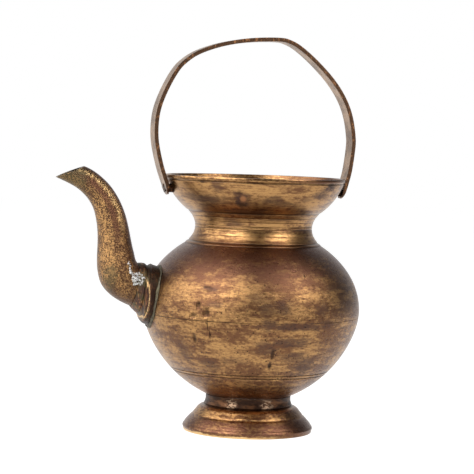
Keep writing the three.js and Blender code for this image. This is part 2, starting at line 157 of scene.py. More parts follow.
class FootSizes(bpy.types.PropertyGroup):
    top_radius: length(0.0298, "Where the foot meets the bowl")
    stem_radius: length(0.031, "At the bottom of the stem")
    stem_height: length(0.0184, "Where the stem meets the spreading base")
    radius: length(0.0456, "Widest radius of the foot")
    widest_height: length(0.0032, "Height of the widest part")
    roll_drop: length(0.0032, "The rolled band ends this far below the stem")
    roll_out: length(0.0049, "The rolled band ends this far outside the stem")
    wall: length(0.003, "Thickness of the foot")
    stand_width: length(0.0045, "Flat ring that the pot stands on")
    stand_inset: length(0.0016, "From the widest part in to that ring")
    edge_draw: length(0.0004, "How far the rim draws in towards the ground")


class SpoutSizes(bpy.types.PropertyGroup):
    wall: length(0.0019, "Thickness of the spout")
    tenon: length(0.004, "How far the tube goes into its collar")
    sides: IntProperty(name="Points round the spout", default=96)
    steps: IntProperty(name="Sections along the spout", default=90)
    edge: length(0.0005, "Worn rounding of the cast edges")
    gap: length(0.0003, "Between the collar and the belly")
    collar_wall: length(0.003, "Thickness of the collar")
    ridge_turn: number(0.55, "From the near side up to the cast ridge")
    ridge_half: number(0.17, "Half width of the ridge, as a turn")
    ridge_height: length(0.00035, "How far the ridge stands proud")
    tin_crumb: number(1.2, "How large the crumbs of tin are")
    solder_width: length(0.0011, "Solder run out round the collar")
    solder_height: length(0.0009, "Thickness of that solder")
    solder_sag: length(0.0005, "How far that solder ran down")


class StrapSizes(bpy.types.PropertyGroup):
    width: length(0.0142, "Width of the strap")
    thickness: length(0.0027, "Thickness of the strap")
    clearance: length(0.00015, "Between the strap and the lip")
    tip: length(0.0043, "From the pivot down to the tip")
    tip_rise: length(0.0015, "The round end begins this far above the pivot")
    lean: number(0.16, "How fast the ends lean in under the lip")
    lean_rise: length(0.002, "The ends begin to lean this far above the pivot")
    pad_half: length(0.0035, "The inner face is flat this far from the pivot")
    taper: number(0.2, "How fast the hammered end thins to its tip")
    tip_curl: number(1.3, "How fast the tip bends in as it goes down")
    edge: length(0.0005, "Worn rounding of the edges")
    rivet_radius: length(0.002, "Radius of the rivet's shank")
    rivet_head: length(0.003, "Radius of the rivet's sunk head")
    rivet_depth: length(0.0012, "Depth of the rivet's sunk head")
    play: length(0.0002, "Room round the rivet")


class MetalColours(bpy.types.PropertyGroup):
    gold: colour((0.41, 0.228, 0.088), "Brass worn clean")
    # The next colour is painted highlight: bright brass put on rubbed edges and on the spout's
    # ridge where light glints.
    highlight_gold: colour((0.78, 0.52, 0.24), "Edges rubbed bright")
    brown: colour((0.135, 0.064, 0.031), "Brass with its usual patina")
    copper: colour((0.42, 0.19, 0.08), "Where the metal shows red")
    purple: colour((0.118, 0.052, 0.032), "Dark copper-coloured patina")
    umber: colour((0.085, 0.044, 0.025), "Deep brown patina")
    dusk: colour((0.075, 0.042, 0.032), "Dark purple-grey patches")
    dark: colour((0.028, 0.016, 0.011), "Old dirt and burnt marks")
    olive: colour((0.085, 0.07, 0.038), "Greenish dark patina")
    tan: colour((0.40, 0.27, 0.175), "Rubbed faces of the strap")
    taupe: colour((0.18, 0.118, 0.078), "Dull faces of the strap")
    solder: colour((0.105, 0.088, 0.056), "Old grey-green solder")
    tin: colour((0.88, 0.87, 0.86), "Bright tin solder")


class StudioSizes(bpy.types.PropertyGroup):
    turn: angle(-15.125, "Camera turn")
    pitch: angle(3.0, "Camera looks down")
    roll: angle(1.85, "Camera roll")
    distance: length(1.383, "From the camera to the middle of the pot")
    middle: length(0.1362, "Height that the camera looks at")
    lens: number(150.3, "Focal length in millimetres")
    lamp: number(7.6, "Brightness of the soft boxes")


SIZES = {
    "pot_bowls": BowlSizes,
    "pot_mouth": MouthSizes,
    "pot_foot": FootSizes,
    "pot_spout": SpoutSizes,
    "pot_strap": StrapSizes,
    "pot_metal": MetalColours,
    "pot_studio": StudioSizes,
}


# Modelling tools


def select_only(piece):
    bpy.ops.object.select_all(action="DESELECT")
    piece.select_set(True)
    bpy.context.view_layer.objects.active = piece


def start_point(name, place):
    """A new piece of one vertex, open in edit mode."""
    bpy.ops.object.select_all(action="DESELECT")
    bpy.ops.mesh.primitive_plane_add(size=START, location=place)
    piece = bpy.context.object
    piece.name = piece.data.name = name
    bpy.ops.object.mode_set(mode="EDIT")
    bpy.ops.mesh.merge(type="CENTER")
    return piece


def draw_on(points):
    """Extrudes the selection from point to point."""
    for here, there in zip(points, points[1:]):
        step = Vector(there) - Vector(here)
        bpy.ops.mesh.extrude_region_move(TRANSFORM_OT_translate={"value": step})


def close_up():
    """Merges what meets and turns the faces outwards, in edit mode."""
    bpy.ops.mesh.select_all(action="SELECT")
    bpy.ops.mesh.remove_doubles(threshold=MERGE)
    bpy.ops.mesh.normals_make_consistent(inside=False)
    bpy.ops.object.mode_set(mode="OBJECT")


def settle(piece):
    """Puts a finished piece's place in its mesh, and shades it."""
    select_only(piece)
    bpy.ops.object.transform_apply(location=True, rotation=True, scale=True)
    bpy.ops.object.shade_smooth_by_angle(angle=radians(SHARP))


def apply_modifier(piece, kind, **settings):
    select_only(piece)
    bpy.ops.object.modifier_add(type=kind)
    modifier = piece.modifiers[-1]
    for setting, value in settings.items():
        setattr(modifier, setting, value)
    bpy.ops.object.modifier_apply(modifier=modifier.name)


def soften(piece, width, segments, sharp):
    """Wears the edges round that are sharper than an angle in degrees."""
    limits = {"limit_method": "ANGLE", "angle_limit": radians(sharp)}
    apply_modifier(piece, "BEVEL", width=width, segments=segments, **limits)


def cut_away(piece, cutter):
    apply_modifier(piece, "BOOLEAN", operation="DIFFERENCE", object=cutter, solver="EXACT")
    bpy.data.objects.remove(cutter)


def spin_round(name, points, centre, axis, steps):
    """A closed outline of points, spun round an axis into a solid."""
    piece = start_point(name, points[0])
    draw_on([*points, points[0]])
    bpy.ops.mesh.select_all(action="SELECT")
    bpy.ops.mesh.spin(steps=steps, angle=2 * pi, center=centre, axis=axis)
    close_up()
    settle(piece)
    return piece


def turned(name, profile):
    """A closed profile of (radius, height) points, spun round the pot's axis."""
    points = [(AXIS + radius, 0, height) for radius, height in profile]
    return spin_round(name, points, (AXIS, 0, 0), (0, 0, 1), TURN_STEPS)


def waver(piece, size, strength):
    """Hand work leaves a face a little uneven."""
    texture = bpy.data.textures.new(piece.name + "_waver", "CLOUDS")
    texture.noise_scale = size
    texture.noise_depth = 1
    settings = {"texture_coords": "LOCAL", "strength": strength, "mid_level": 0.5}
    apply_modifier(piece, "DISPLACE", texture=texture, **settings)


def eased(start, leave, arrive, end, steps):
    """A curve of (radius, height) points, pulled at each end by a handle."""
    first, last = Vector((*start, 0)), Vector((*end, 0))
    handles = first + Vector((*leave, 0)), last + Vector((*arrive, 0))
    return [(p.x, p.y) for p in interpolate_bezier(first, *handles, last, steps + 1)]


def offset(line, distance):
    """A line of (radius, height) points moved square to itself, inwards when below zero."""
    moved = []
    for i, (radius, height) in enumerate(line):
        before, after = line[max(i - 1, 0)], line[min(i + 1, len(line) - 1)]
        across = Vector((after[1] - before[1], before[0] - after[0])).normalized()
        moved.append((radius + across.x * distance, height + across.y * distance))
    return moved


def radius_on(line, height):
    """Radius at a height on a line of (radius, height) points that climbs all the way."""
    for (r0, z0), (r1, z1) in zip(line, line[1:]):
        if height <= z1:
            return r0 + (r1 - r0) * (height - z0) / (z1 - z0)
    return line[-1][0]


def cut_face(radius_at, low, high, spacing, cuts=()):
    """A turned face from low to high, with its grooves, and its beads of negative depth."""
    count = max(round((high - low) / spacing), 1)
    heights = [low + (high - low) * i / count for i in range(count + 1)]
    for cut in cuts:
        near = [cut.height + cut.half * i / 4 for i in range(-4, 5)]
        heights = [z for z in heights if abs(z - cut.height) > 1.3 * cut.half or z in (low, high)]
        heights += [z for z in near if low < z < high]

    def cut_by(height):
        shares = [(cut, (height - cut.height) / cut.half) for cut in cuts]
        return sum(cut.depth * (1 - share**2) ** 2 for cut, share in shares if abs(share) < 1)

    return [(radius_at(z) - cut_by(z), z) for z in sorted(set(heights))]


def through(points, steps):
    """Evenly many points on a smooth line through the given ones."""
    ends = [points[0], *points, points[-1]]
    line = []
    for i in range(steps + 1):
        place = i / steps * (len(points) - 1)
        k = min(int(place), len(points) - 2)
        t = place - k
        a, b, c, d = ends[k : k + 4]
        line.append(
            tuple(
                0.5
                * (
                    2 * q
                    + (r - p) * t
                    + (2 * p - 5 * q + 4 * r - s) * t**2
                    + (3 * q - p - 3 * r + s) * t**3
                )
                for p, q, r, s in zip(a, b, c, d)
            )
        )
    return line


# Shapes of the pot


def belly_height():
    return BOWL_FLOOR + bpy.context.scene.pot_bowls.belly_rise


def belly_at(height):
    """Outer radius of the bowls at a height."""
    sizes = bpy.context.scene.pot_bowls
    above = height - belly_height()
    if above < 0:
        share = (-above / sizes.belly_rise) ** sizes.fullness
    else:
        share = (above / sizes.shoulder_half) ** 2
    return sizes.belly_radius * sqrt(max(1 - share, 0))


def underside_at(radius):
    """Height of the bowl's underside at a radius."""
    sizes = bpy.context.scene.pot_bowls
    share = 1 - (radius / sizes.belly_radius) ** 2
    return belly_height() - sizes.belly_rise * share ** (1 / sizes.fullness)


def mouth_line():
    """Outer line of the neck and cup, from the shoulder joint to the band under the rim."""
    sizes = bpy.context.scene.pot_mouth
    joint = (belly_at(SHOULDER), SHOULDER)
    waist = (sizes.waist_radius, SHOULDER + sizes.waist_rise)
    flare = (sizes.flare_radius, waist[1] + sizes.flare_rise)
    lip = (sizes.rim_radius - sizes.lip_step, RIM - sizes.lip_height)
    return [
        *eased(joint, (-0.0038, 0.0032), (0, -0.005), waist, 24),
        *eased(waist, (0, 0.005), (-0.0022, -0.0022), flare, 16)[1:],
        *eased(flare, (0.0082, 0.006), (-0.0024, -0.0076), lip, 30)[1:],
    ]


def turn_mouth():
    """The waist, the cup and the lip, with the skirt inside the shoulder joint."""
    sizes = bpy.context.scene.pot_mouth
    bowls = bpy.context.scene.pot_bowls
    line = mouth_line()
    waist = SHOULDER + sizes.waist_rise
    flare = waist + sizes.flare_rise
    lip_foot = RIM - sizes.lip_height
    cuts = [
        Cut(SHOULDER + 0.0009, 0.0009, -0.0003),
        Cut(SHOULDER + sizes.line_rise, 0.0006, 0.0005),
        Cut(waist - 0.0049, 0.0003, 0.00012),
        Cut(waist - 0.0003, 0.0005, 0.0002),
        Cut(waist + 0.0018, 0.0004, 0.00014),
        Cut(waist + 0.0046, 0.0003, 0.0001),
        Cut(waist + 0.0075, 0.0004, 0.00014),
        Cut(flare, 0.0008, 0.00022),
        Cut(lip_foot - 0.0006, 0.0006, 0.0004),
    ]
    outside = cut_face(lambda z: radius_on(line, z), SHOULDER, lip_foot, 0.0006, cuts)
    skirt = belly_at(SHOULDER) - bowls.opening_step - JOINT_GAP
    inside = [p for p in offset(line, -sizes.wall)[::3] if p[1] > SHOULDER + sizes.line_rise]
    rounding = sizes.lip_round
    inner = sizes.rim_radius - sizes.lip_step - sizes.wall
    lip = [
        (sizes.rim_radius - 0.0001, lip_foot + sizes.lip_step / 2),
        (sizes.rim_radius, lip_foot + sizes.lip_step),
        (sizes.rim_radius, RIM - rounding),
        (sizes.rim_radius - rounding * 0.3, RIM - rounding * 0.3),
        (sizes.rim_radius - rounding, RIM),
        (inner + rounding, RIM),
        (inner + rounding * 0.3, RIM - rounding * 0.3),
        (inner, RIM - rounding),
    ]
    foot = [
        (skirt - sizes.skirt_wall, SHOULDER),
        (skirt - sizes.skirt_wall, SHOULDER - bowls.lap),
        (skirt, SHOULDER - bowls.lap),
        (skirt, SHOULDER),
    ]
    return turned("turned_mouth", [*outside, *lip, *reversed(inside), *foot])


UPPER_DENTS = [
    Dent(-45.6, 0.0852, 0.0075, 0.0052, 0.0011),
    Dent(-38.3, 0.0878, 0.0060, 0.0084, 0.0014),
    Dent(-43.1, 0.0922, 0.0042, 0.0068, 0.0010),
    Dent(-39.4, 0.1034, 0.0100, 0.0044, 0.0007),
    Dent(-17, 0.1060, 0.0020, 0.0016, 0.0003),
    Dent(17, 0.1135, 0.0018, 0.0024, 0.0003),
]
LOWER_DENTS = [
    Dent(-37.9, 0.0800, 0.0014, 0.0048, 0.0004),
    Dent(-37.1, 0.0768, 0.0013, 0.0045, 0.0004),
    Dent(-36.3, 0.0735, 0.0012, 0.0045, 0.0004),
    Dent(-35.6, 0.0702, 0.0012, 0.0040, 0.0003),
    Dent(-46, 0.0700, 0.0036, 0.0070, 0.0005),
    Dent(-2, 0.0610, 0.0032, 0.0075, 0.0005),
    Dent(-2.5, 0.0530, 0.0030, 0.0060, 0.0005),
]


def press_dents(piece, dents):
    """Knocks in the face of a bowl: a finer mesh there, and its points moved in."""
    middles = [
        (Vector((AXIS, 0, 0)) + around(d.angle, belly_at(d.height), d.height), d) for d in dents
    ]
    select_only(piece)
    bpy.ops.object.mode_set(mode="EDIT")
    bpy.ops.mesh.select_all(action="DESELECT")
    bpy.ops.object.mode_set(mode="OBJECT")
    for face in piece.data.polygons:
        face.select = any(
            (face.center - middle).length < max(dent.width, dent.tall) for middle, dent in middles
        ) and face.normal.dot(Vector((face.center.x - AXIS, face.center.y, 0))) > 0
    bpy.ops.object.mode_set(mode="EDIT")
    bpy.ops.mesh.subdivide(number_cuts=3)
    bpy.ops.object.mode_set(mode="OBJECT")
    for vertex in piece.data.vertices:
        flat = Vector((vertex.co.x - AXIS, vertex.co.y, 0))
        if flat.length < belly_at(vertex.co.z) - bpy.context.scene.pot_bowls.wall / 4:
            continue
        for middle, dent in middles:
            gap = vertex.co - middle
            across = around(dent.angle + 90, 1, 0)
            reach = (gap.dot(across) * 2 / dent.width) ** 2 + (gap.z * 2 / dent.tall) ** 2
            if reach < 1:
                vertex.co -= flat.normalized() * dent.depth * (1 - reach) ** 1.5


def around(degrees, radius, height):
    """A point about the pot's axis, at an angle in degrees from the near side."""
    turn = radians(degrees)
    return Vector((radius * sin(turn), -radius * cos(turn), height))


def bore_for_spout(piece):
    """Bores the bowl's wall behind the collar, so that water runs into the spout."""
    centre, ahead = section_place(TUBE_SECTIONS[0])
    bpy.ops.mesh.primitive_cylinder_add(
        vertices=BORE_SIDES,
        radius=bpy.context.scene.pot_bowls.spout_hole,
        depth=BORE_DEPTH,
        location=centre - ahead * BORE_DEPTH / 3,
        rotation=(0, radians(COLLAR_TILT - 90), 0),
    )
    cut_away(piece, bpy.context.object)


def turn_upper_bowl():
    sizes = bpy.context.scene.pot_bowls
    rebate = belly_at(SEAM) - sizes.wall / 2
    ledge = SEAM + sizes.lap + JOINT_GAP
    opening = belly_at(SHOULDER) - sizes.opening_step
    edge = sizes.seam_edge
    outside = cut_face(belly_at, SEAM + edge, SHOULDER - edge, 0.0012)
    inside = offset(cut_face(belly_at, ledge, SHOULDER, 0.004), -sizes.wall)
    piece = turned(
        "turned_upper_bowl",
        [
            (belly_at(SEAM) - edge, SEAM),
            *outside,
            (belly_at(SHOULDER) - edge, SHOULDER),
            (opening, SHOULDER),
            (opening, SHOULDER - sizes.opening_edge),
            *reversed(inside[1:-1]),
            (belly_at(ledge) - sizes.wall, ledge),
            (rebate, ledge),
            (rebate, SEAM),
        ],
    )
    bore_for_spout(piece)
    return piece


def turn_lower_bowl():
    sizes = bpy.context.scene.pot_bowls
    band = belly_height() - sizes.band_drop
    cuts = [
        Cut(band + side * sizes.band_spacing / 2, sizes.line_half, sizes.line_depth)
        for side in (-1, 1)
    ]
    edge = sizes.seam_edge
    bottom = [
        (sizes.floor_radius * i / 12, underside_at(sizes.floor_radius * i / 12))
        for i in range(12)
    ]
    flank = cut_face(belly_at, underside_at(sizes.floor_radius), SEAM - edge, 0.0012, cuts)
    smooth = cut_face(belly_at, underside_at(sizes.floor_radius), SEAM, 0.004)
    inside = offset([*bottom[::3], *smooth], -sizes.wall)[1:-1]
    tongue = belly_at(SEAM) - sizes.wall / 2 - JOINT_GAP
    return turned(
        "turned_lower_bowl",
        [
            *bottom,
            *flank,
            (belly_at(SEAM) - edge, SEAM),
            (tongue, SEAM),
            (tongue, SEAM + sizes.lap),
            (tongue - sizes.wall / 2, SEAM + sizes.lap),
            *reversed(inside),
            (0, underside_at(0) + sizes.wall),
        ],
    )


def turn_foot():
    sizes = bpy.context.scene.pot_foot
    stem = (sizes.stem_radius, sizes.stem_height)
    roll_foot = (sizes.stem_radius + sizes.roll_out, sizes.stem_height - sizes.roll_drop)
    widest = (sizes.radius, sizes.widest_height)
    roll = eased(stem, (0.0022, -0.0006), (-0.0006, 0.0012), roll_foot, 12)
    spread = eased(roll_foot, (0.0033, -0.0044), (-0.001, 0.0032), widest, 24)
    line = [*roll, *spread[1:]][::-1]
    seat = underside_at(sizes.top_radius) - JOINT_GAP
    neck = [stem, (sizes.top_radius, (sizes.stem_height + seat) / 2), (sizes.top_radius, seat)]
    cuts = [
        Cut(sizes.stem_height - 0.0002, 0.0009, 0.0007),
        Cut(0.0115, 0.0012, 0.0004),
        Cut(0.0052, 0.0007, 0.0002),
    ]
    outside = cut_face(
        lambda z: radius_on([*line, *neck[1:]], z), sizes.widest_height, seat, 0.0007, cuts
    )
    hollow = sizes.top_radius - sizes.wall
    stand = sizes.radius - sizes.stand_inset
    inner_foot = stand - sizes.stand_width
    return turned(
        "turned_foot",
        [
            (stand, 0),
            (stand + 0.0009, 0.0002),
            (sizes.radius - sizes.edge_draw, sizes.widest_height / 2),
            *outside,
            (hollow, underside_at(hollow) - JOINT_GAP),
            (hollow, sizes.stem_height),
            (roll_foot[0] - 2 * sizes.wall, roll_foot[1]),
            (inner_foot - sizes.wall, sizes.widest_height + sizes.wall),
            (inner_foot, 0),
        ],
    )


# The spout's sections: out beyond the belly, rise above its widest part, radius, tilt in
# degrees, and on the collar how far its sides are drawn out to clear the round belly
COLLAR_TILT = 9
COLLAR_SECTIONS = [
    (-0.00295, 0.0084, 0.0207, COLLAR_TILT, 0.0045),
    (-0.0015, 0.0094, 0.0204, COLLAR_TILT, 0.0039),
    (-0.0002, 0.0104, 0.0201, COLLAR_TILT, 0.0031),
    (0.0006, 0.0110, 0.0184, COLLAR_TILT, 0.0024),
    (0.00225, 0.0123, 0.0172, COLLAR_TILT, 0.0014),
    (0.00285, 0.0128, 0.0166, COLLAR_TILT, 0.0012),
    (0.00345, 0.0132, 0.0172, COLLAR_TILT, 0.0010),
    (0.00435, 0.0138, 0.0171, COLLAR_TILT, 0.0007),
    (0.00565, 0.0145, 0.0166, COLLAR_TILT, 0.0004),
    (0.00725, 0.0152, 0.0159, COLLAR_TILT, 0.0002),
    (0.00855, 0.0158, 0.0151, COLLAR_TILT, 0),
]
TUBE_SECTIONS = [
    (0.00885, 0.0158, 0.0148, COLLAR_TILT),
    (0.0156, 0.0201, 0.0147, 33),
    (0.0196, 0.0250, 0.0147, 50),
    (0.0215, 0.0316, 0.0139, 62),
    (0.0224, 0.0382, 0.0127, 71),
    (0.02305, 0.0460, 0.0115, 78),
    (0.02415, 0.0543, 0.0107, 78),
    (0.02605, 0.0625, 0.0101, 73),
    (0.02945, 0.0713, 0.0093, 66),
    (0.03505, 0.0795, 0.0087, 51),
    (0.04305, 0.0865, 0.0081, 36),
    (0.0516, 0.0908, 0.0074, 24),
    (0.06325, 0.0950, 0.0066, 18),
]
LIP_CUT = ((0.04645, 0.0957), (0.06555, 0.0880))
SOCKET = 0.0119  # radius of the socket in the collar


def section_place(section):
    """Centre of a spout section, and the way that the spout runs there."""
    out, rise, _, tilt, *_ = section
    sizes = bpy.context.scene.pot_bowls
    centre = Vector((AXIS - sizes.belly_radius - out, 0, belly_height() + rise))
    return centre, Vector((-cos(radians(tilt)), 0, sin(radians(tilt))))


def loft(name, sections, sides):
    """A skin over round sections, open at both ends."""
    bpy.ops.object.select_all(action="DESELECT")
    for i, section in enumerate(sections):
        bpy.ops.mesh.primitive_circle_add(
            vertices=sides,
            radius=section[2],
            location=section_place(section)[0],
            rotation=(0, radians(section[3] - 90), 0),
        )
        if i == 0:
            piece = bpy.context.object
            piece.name = piece.data.name = name
            bpy.ops.object.mode_set(mode="EDIT")
    bpy.ops.mesh.select_all(action="SELECT")
    bpy.ops.mesh.bridge_edge_loops(type="SINGLE")
    close_up()
    select_only(piece)
    bpy.ops.object.transform_apply(location=True, rotation=True, scale=True)
    return piece


def draw_out_sides(piece, sections):
    """Moves each ring's sides out along the spout, so that they clear the round belly."""
    for section in sections:
        centre, ahead = section_place(section)
        for vertex in piece.data.vertices:
            gap = vertex.co - centre
            if abs(gap.dot(ahead)) < MERGE and abs(gap.length - section[2]) < MERGE:
                share = vertex.co.y / section[2]
                vertex.co += ahead * section[4] * share**2


def make_tube():
    """The spout's tube: lofted, given its wall, and cut on a slant at its mouth."""
    sizes = bpy.context.scene.pot_spout
    sections = through(TUBE_SECTIONS, sizes.steps)
    tenon = [
        (-sizes.tenon * cos(radians(COLLAR_TILT)), -sizes.tenon * sin(radians(COLLAR_TILT))),
        (-0.0001, 0),
    ]
    root = TUBE_SECTIONS[0]
    stub = [
        (root[0] + out, root[1] + rise, SOCKET - sizes.gap, COLLAR_TILT) for out, rise in tenon
    ]
    piece = loft("cast_spout", [*stub, *sections], sizes.sides)
    raise_ridge(piece, sections)
    apply_modifier(piece, "SOLIDIFY", thickness=sizes.wall, offset=-1, use_even_offset=True)
    (u0, z0), (u1, z1) = LIP_CUT
    low, _ = section_place((u1, z1, 0, 0))
    square = Vector((-(z0 - z1), 0, u1 - u0)).normalized()
    select_only(piece)
    bpy.ops.object.mode_set(mode="EDIT")
    bpy.ops.mesh.select_all(action="SELECT")
    bpy.ops.mesh.bisect(
        plane_co=low, plane_no=square, use_fill=True, clear_outer=True, threshold=MERGE
    )
    close_up()
    soften(piece, sizes.edge, 2, 40)
    settle(piece)
    return piece


def onto_belly(point, ahead, gap):
    """The point, slid along the spout until it lies a gap outside the belly."""
    point = point.copy()
    for _ in range(60):
        beyond = sqrt((point.x - AXIS) ** 2 + point.y**2) - belly_at(point.z) - gap
        point -= ahead * beyond * 0.9
    return point


def ring_at(piece, section):
    """The vertices in the plane of a section."""
    centre, ahead = section_place(section)
    return [v for v in piece.data.vertices if abs((v.co - centre).dot(ahead)) < MERGE]


def raise_ridge(piece, sections):
    """A soft ridge along the spout's upper side and a hollow beside it, from the casting."""
    sizes = bpy.context.scene.pot_spout
    places = [section_place(section) for section in sections]
    turns = piece.data.attributes.new("turn", "FLOAT", "POINT")
    for vertex in piece.data.vertices:
        centre, ahead = min(places, key=lambda place: (vertex.co - place[0]).length_squared)
        up = Vector((ahead.z, 0, -ahead.x))
        arm = vertex.co - centre
        arm -= ahead * arm.dot(ahead)
        turn = atan2(arm.dot(up), -arm.y)
        gap = (turn - sizes.ridge_turn) / sizes.ridge_half
        ridge, hollow = exp(-(gap**2)), exp(-((gap + 3) ** 2))
        vertex.co += arm.normalized() * (ridge - 0.7 * hollow) * sizes.ridge_height
        turns.data[vertex.index].value = turn


def make_collar():
    """The flared socket: lofted, fitted to the belly and given its wall."""
    sizes = bpy.context.scene.pot_spout
    piece = loft("cast_collar", COLLAR_SECTIONS, sizes.sides)
    rim = ring_at(piece, COLLAR_SECTIONS[0])
    draw_out_sides(piece, COLLAR_SECTIONS)
    _, ahead = section_place(COLLAR_SECTIONS[0])
    for vertex in rim:
        vertex.co = onto_belly(vertex.co, ahead, sizes.gap)
    apply_modifier(piece, "SOLIDIFY", thickness=sizes.collar_wall, offset=-1, use_even_offset=True)
    soften(piece, sizes.edge * 0.6, 2, 30)
    settle(piece)
    return piece


# The tin's crumbs: out from the spout's joint along the pot's middle plane, rise above its
# middle, and radius. A thin trail comes down to a ragged patch.
TIN_TRAIL = [
    (0.0058, 0.0166, 0.0003),
    (0.0056, 0.0152, 0.0004),
    (0.0054, 0.0138, 0.0004),
    (0.0052, 0.0122, 0.0003),
    (0.0051, 0.0108, 0.0005),
    (0.0047, 0.0096, 0.0007),
    (0.0038, 0.0087, 0.0006),
]
TIN_PATCH = [
    (0.0028, 0.0068, 0.0007),
    (0.0026, 0.0048, 0.0009),
    (0.0019, 0.0030, 0.0008),
    (0.0012, 0.0016, 0.0009),
    (-0.0004, 0.0022, 0.0007),
    (-0.0020, 0.0018, 0.0008),
    (-0.0033, 0.0034, 0.0007),
    (-0.0037, 0.0056, 0.0008),
    (-0.0030, 0.0076, 0.0005),
    (-0.0014, 0.0086, 0.0006),
    (0.0004, 0.0080, 0.0008),
    (-0.0002, 0.0060, 0.0008),
    (0.0008, 0.0046, 0.0006),
    (-0.0012, 0.0042, 0.0007),
    (-0.0022, 0.0062, 0.0005),
]


def splash_tin(*targets):
    """Rough tin solder: crumbs thrown on the side of the spout's joint, and run together."""
    sizes = bpy.context.scene.pot_spout
    root, _ = section_place(TUBE_SECTIONS[0])
    piece = start_point("tin_splatter", root)
    bpy.ops.mesh.select_all(action="SELECT")
    bpy.ops.mesh.delete(type="VERT")
    for out, rise, size in [*TIN_TRAIL, *TIN_PATCH]:
        size *= sizes.tin_crumb
        start = Vector((root.x - out, -1, root.z + rise))
        hits = [target.ray_cast(start, (0, 1, 0)) for target in targets]
        near = min((place.y, place, normal) for hit, place, normal, _ in hits if hit)
        bpy.ops.mesh.primitive_ico_sphere_add(
            subdivisions=2,
            radius=size,
            location=near[1] + near[2] * size * 0.2,
            rotation=near[2].to_track_quat("Z", "Y").to_euler(),
            scale=CRUMB_SHAPE,
        )
    close_up()
    settle(piece)
    apply_modifier(piece, "REMESH", mode="VOXEL", voxel_size=TIN_VOXEL)
    waver(piece, size=0.0009, strength=0.0018)
    waver(piece, size=0.0004, strength=0.0008)
    settle(piece)
    return piece


def run_solder():
    """A thin uneven bead of solder on the belly, round the foot of the collar."""
    sizes = bpy.context.scene.pot_spout
    centre, ahead = section_place(COLLAR_SECTIONS[0])
    inner = COLLAR_SECTIONS[0][2] + sizes.gap
    width, height = sizes.solder_width, sizes.solder_height
    across = Vector((ahead.z, 0, -ahead.x))
    profile = [
        (0, 0),
        (0, height),
        (width * 0.25, height * 1.05),
        (width * 0.5, height * 0.85),
        (width * 0.8, height * 0.4),
        (width, 0),
    ]
    points = [centre + across * (inner + out) + ahead * rise for out, rise in profile]
    piece = spin_round("solder_bead", points, centre, ahead, SOLDER_STEPS)
    low = centre - Vector((0, 0, sizes.solder_sag))
    for vertex in piece.data.vertices:
        flat = vertex.co - centre
        rise = flat.dot(ahead)
        arm = flat - ahead * rise
        round_by = atan2(arm.y, arm.dot(across))
        ragged = 1 + 0.3 * sin(3 * round_by + 1) + 0.22 * sin(8 * round_by)
        ragged += 0.12 * sin(19 * round_by)
        reach = inner + (arm.length - inner) * ragged
        lift = sizes.gap + rise * (1 + 0.4 * sin(5 * round_by + 2) + 0.25 * sin(13 * round_by))
        vertex.co = onto_belly(low + arm.normalized() * reach, ahead, lift)
    waver(piece, size=0.0018, strength=0.0004)
    settle(piece)
    return piece


# The strap's hand-bent line on each side: out beyond its pivot, and rise above it
TIP_STEPS = 8
SPOUT_LIMB = [
    (0, 0.0035),
    (0.0017, 0.0082),
    (0.0046, 0.0172),
    (0.0078, 0.0312),
    (0.0084, 0.0432),
    (0.0069, 0.0548),
    (0.0023, 0.0675),
    (-0.0044, 0.0802),
    (-0.0105, 0.0874),
    (-0.0203, 0.0941),
    (-0.0368, 0.1001),
    (-0.0563, 0.1038),
]
FAR_LIMB = [
    (0, 0.0035),
    (0.0012, 0.0082),
    (0.0029, 0.0156),
    (0.0045, 0.0282),
    (0.0048, 0.0382),
    (0.0021, 0.0530),
    (-0.0030, 0.0653),
    (-0.0114, 0.0774),
    (-0.0232, 0.0894),
    (-0.0350, 0.0990),
    (-0.0434, 0.1035),
    (-0.0519, 0.1050),
]


def strap_middle():
    """Distance from the pot's axis to the middle of the strap at its pivots."""
    sizes = bpy.context.scene.pot_strap
    return bpy.context.scene.pot_mouth.rim_radius + sizes.clearance + sizes.thickness / 2


def lean_in(rise):
    """How far the strap leans in under the lip, at a rise above its pivots."""
    sizes = bpy.context.scene.pot_strap
    return sizes.lean * max(sizes.lean_rise - rise, 0)


def strap_line():
    """Middle line of the strap from tip to tip."""
    sizes = bpy.context.scene.pot_strap
    middle = strap_middle()
    turns = [radians(90 * i / TIP_STEPS) for i in range(TIP_STEPS, 0, -1)]
    tip = [(0, -sizes.tip * sin(turn)) for turn in turns]
    spout, far = (
        [
            (AXIS + side * (middle + out - lean_in(rise)), PIVOT.z + rise)
            for out, rise in [*tip, (0, 0), *limb]
        ]
        for side, limb in ((-1, SPOUT_LIMB), (1, FAR_LIMB))
    )
    bend = through([*spout[TIP_STEPS:], *reversed(far[TIP_STEPS:])], STRAP_STEPS)
    return [*spout[:TIP_STEPS], *bend, *reversed(far[:TIP_STEPS])]


def hammer_ends(piece):
    """Thins the strap's ends towards their tips, and curls the tips in to the cup."""
    sizes = bpy.context.scene.pot_strap
    for vertex in piece.data.vertices:
        rise = vertex.co.z - PIVOT.z
        out = abs(vertex.co.x - AXIS) - strap_middle() + lean_in(rise)
        if out > 0:
            shift = sizes.taper * max(sizes.pad_half - rise, 0)
        else:
            shift = sizes.tip_curl * max(-sizes.pad_half - rise, 0)
        vertex.co.x -= copysign(shift, vertex.co.x - AXIS)


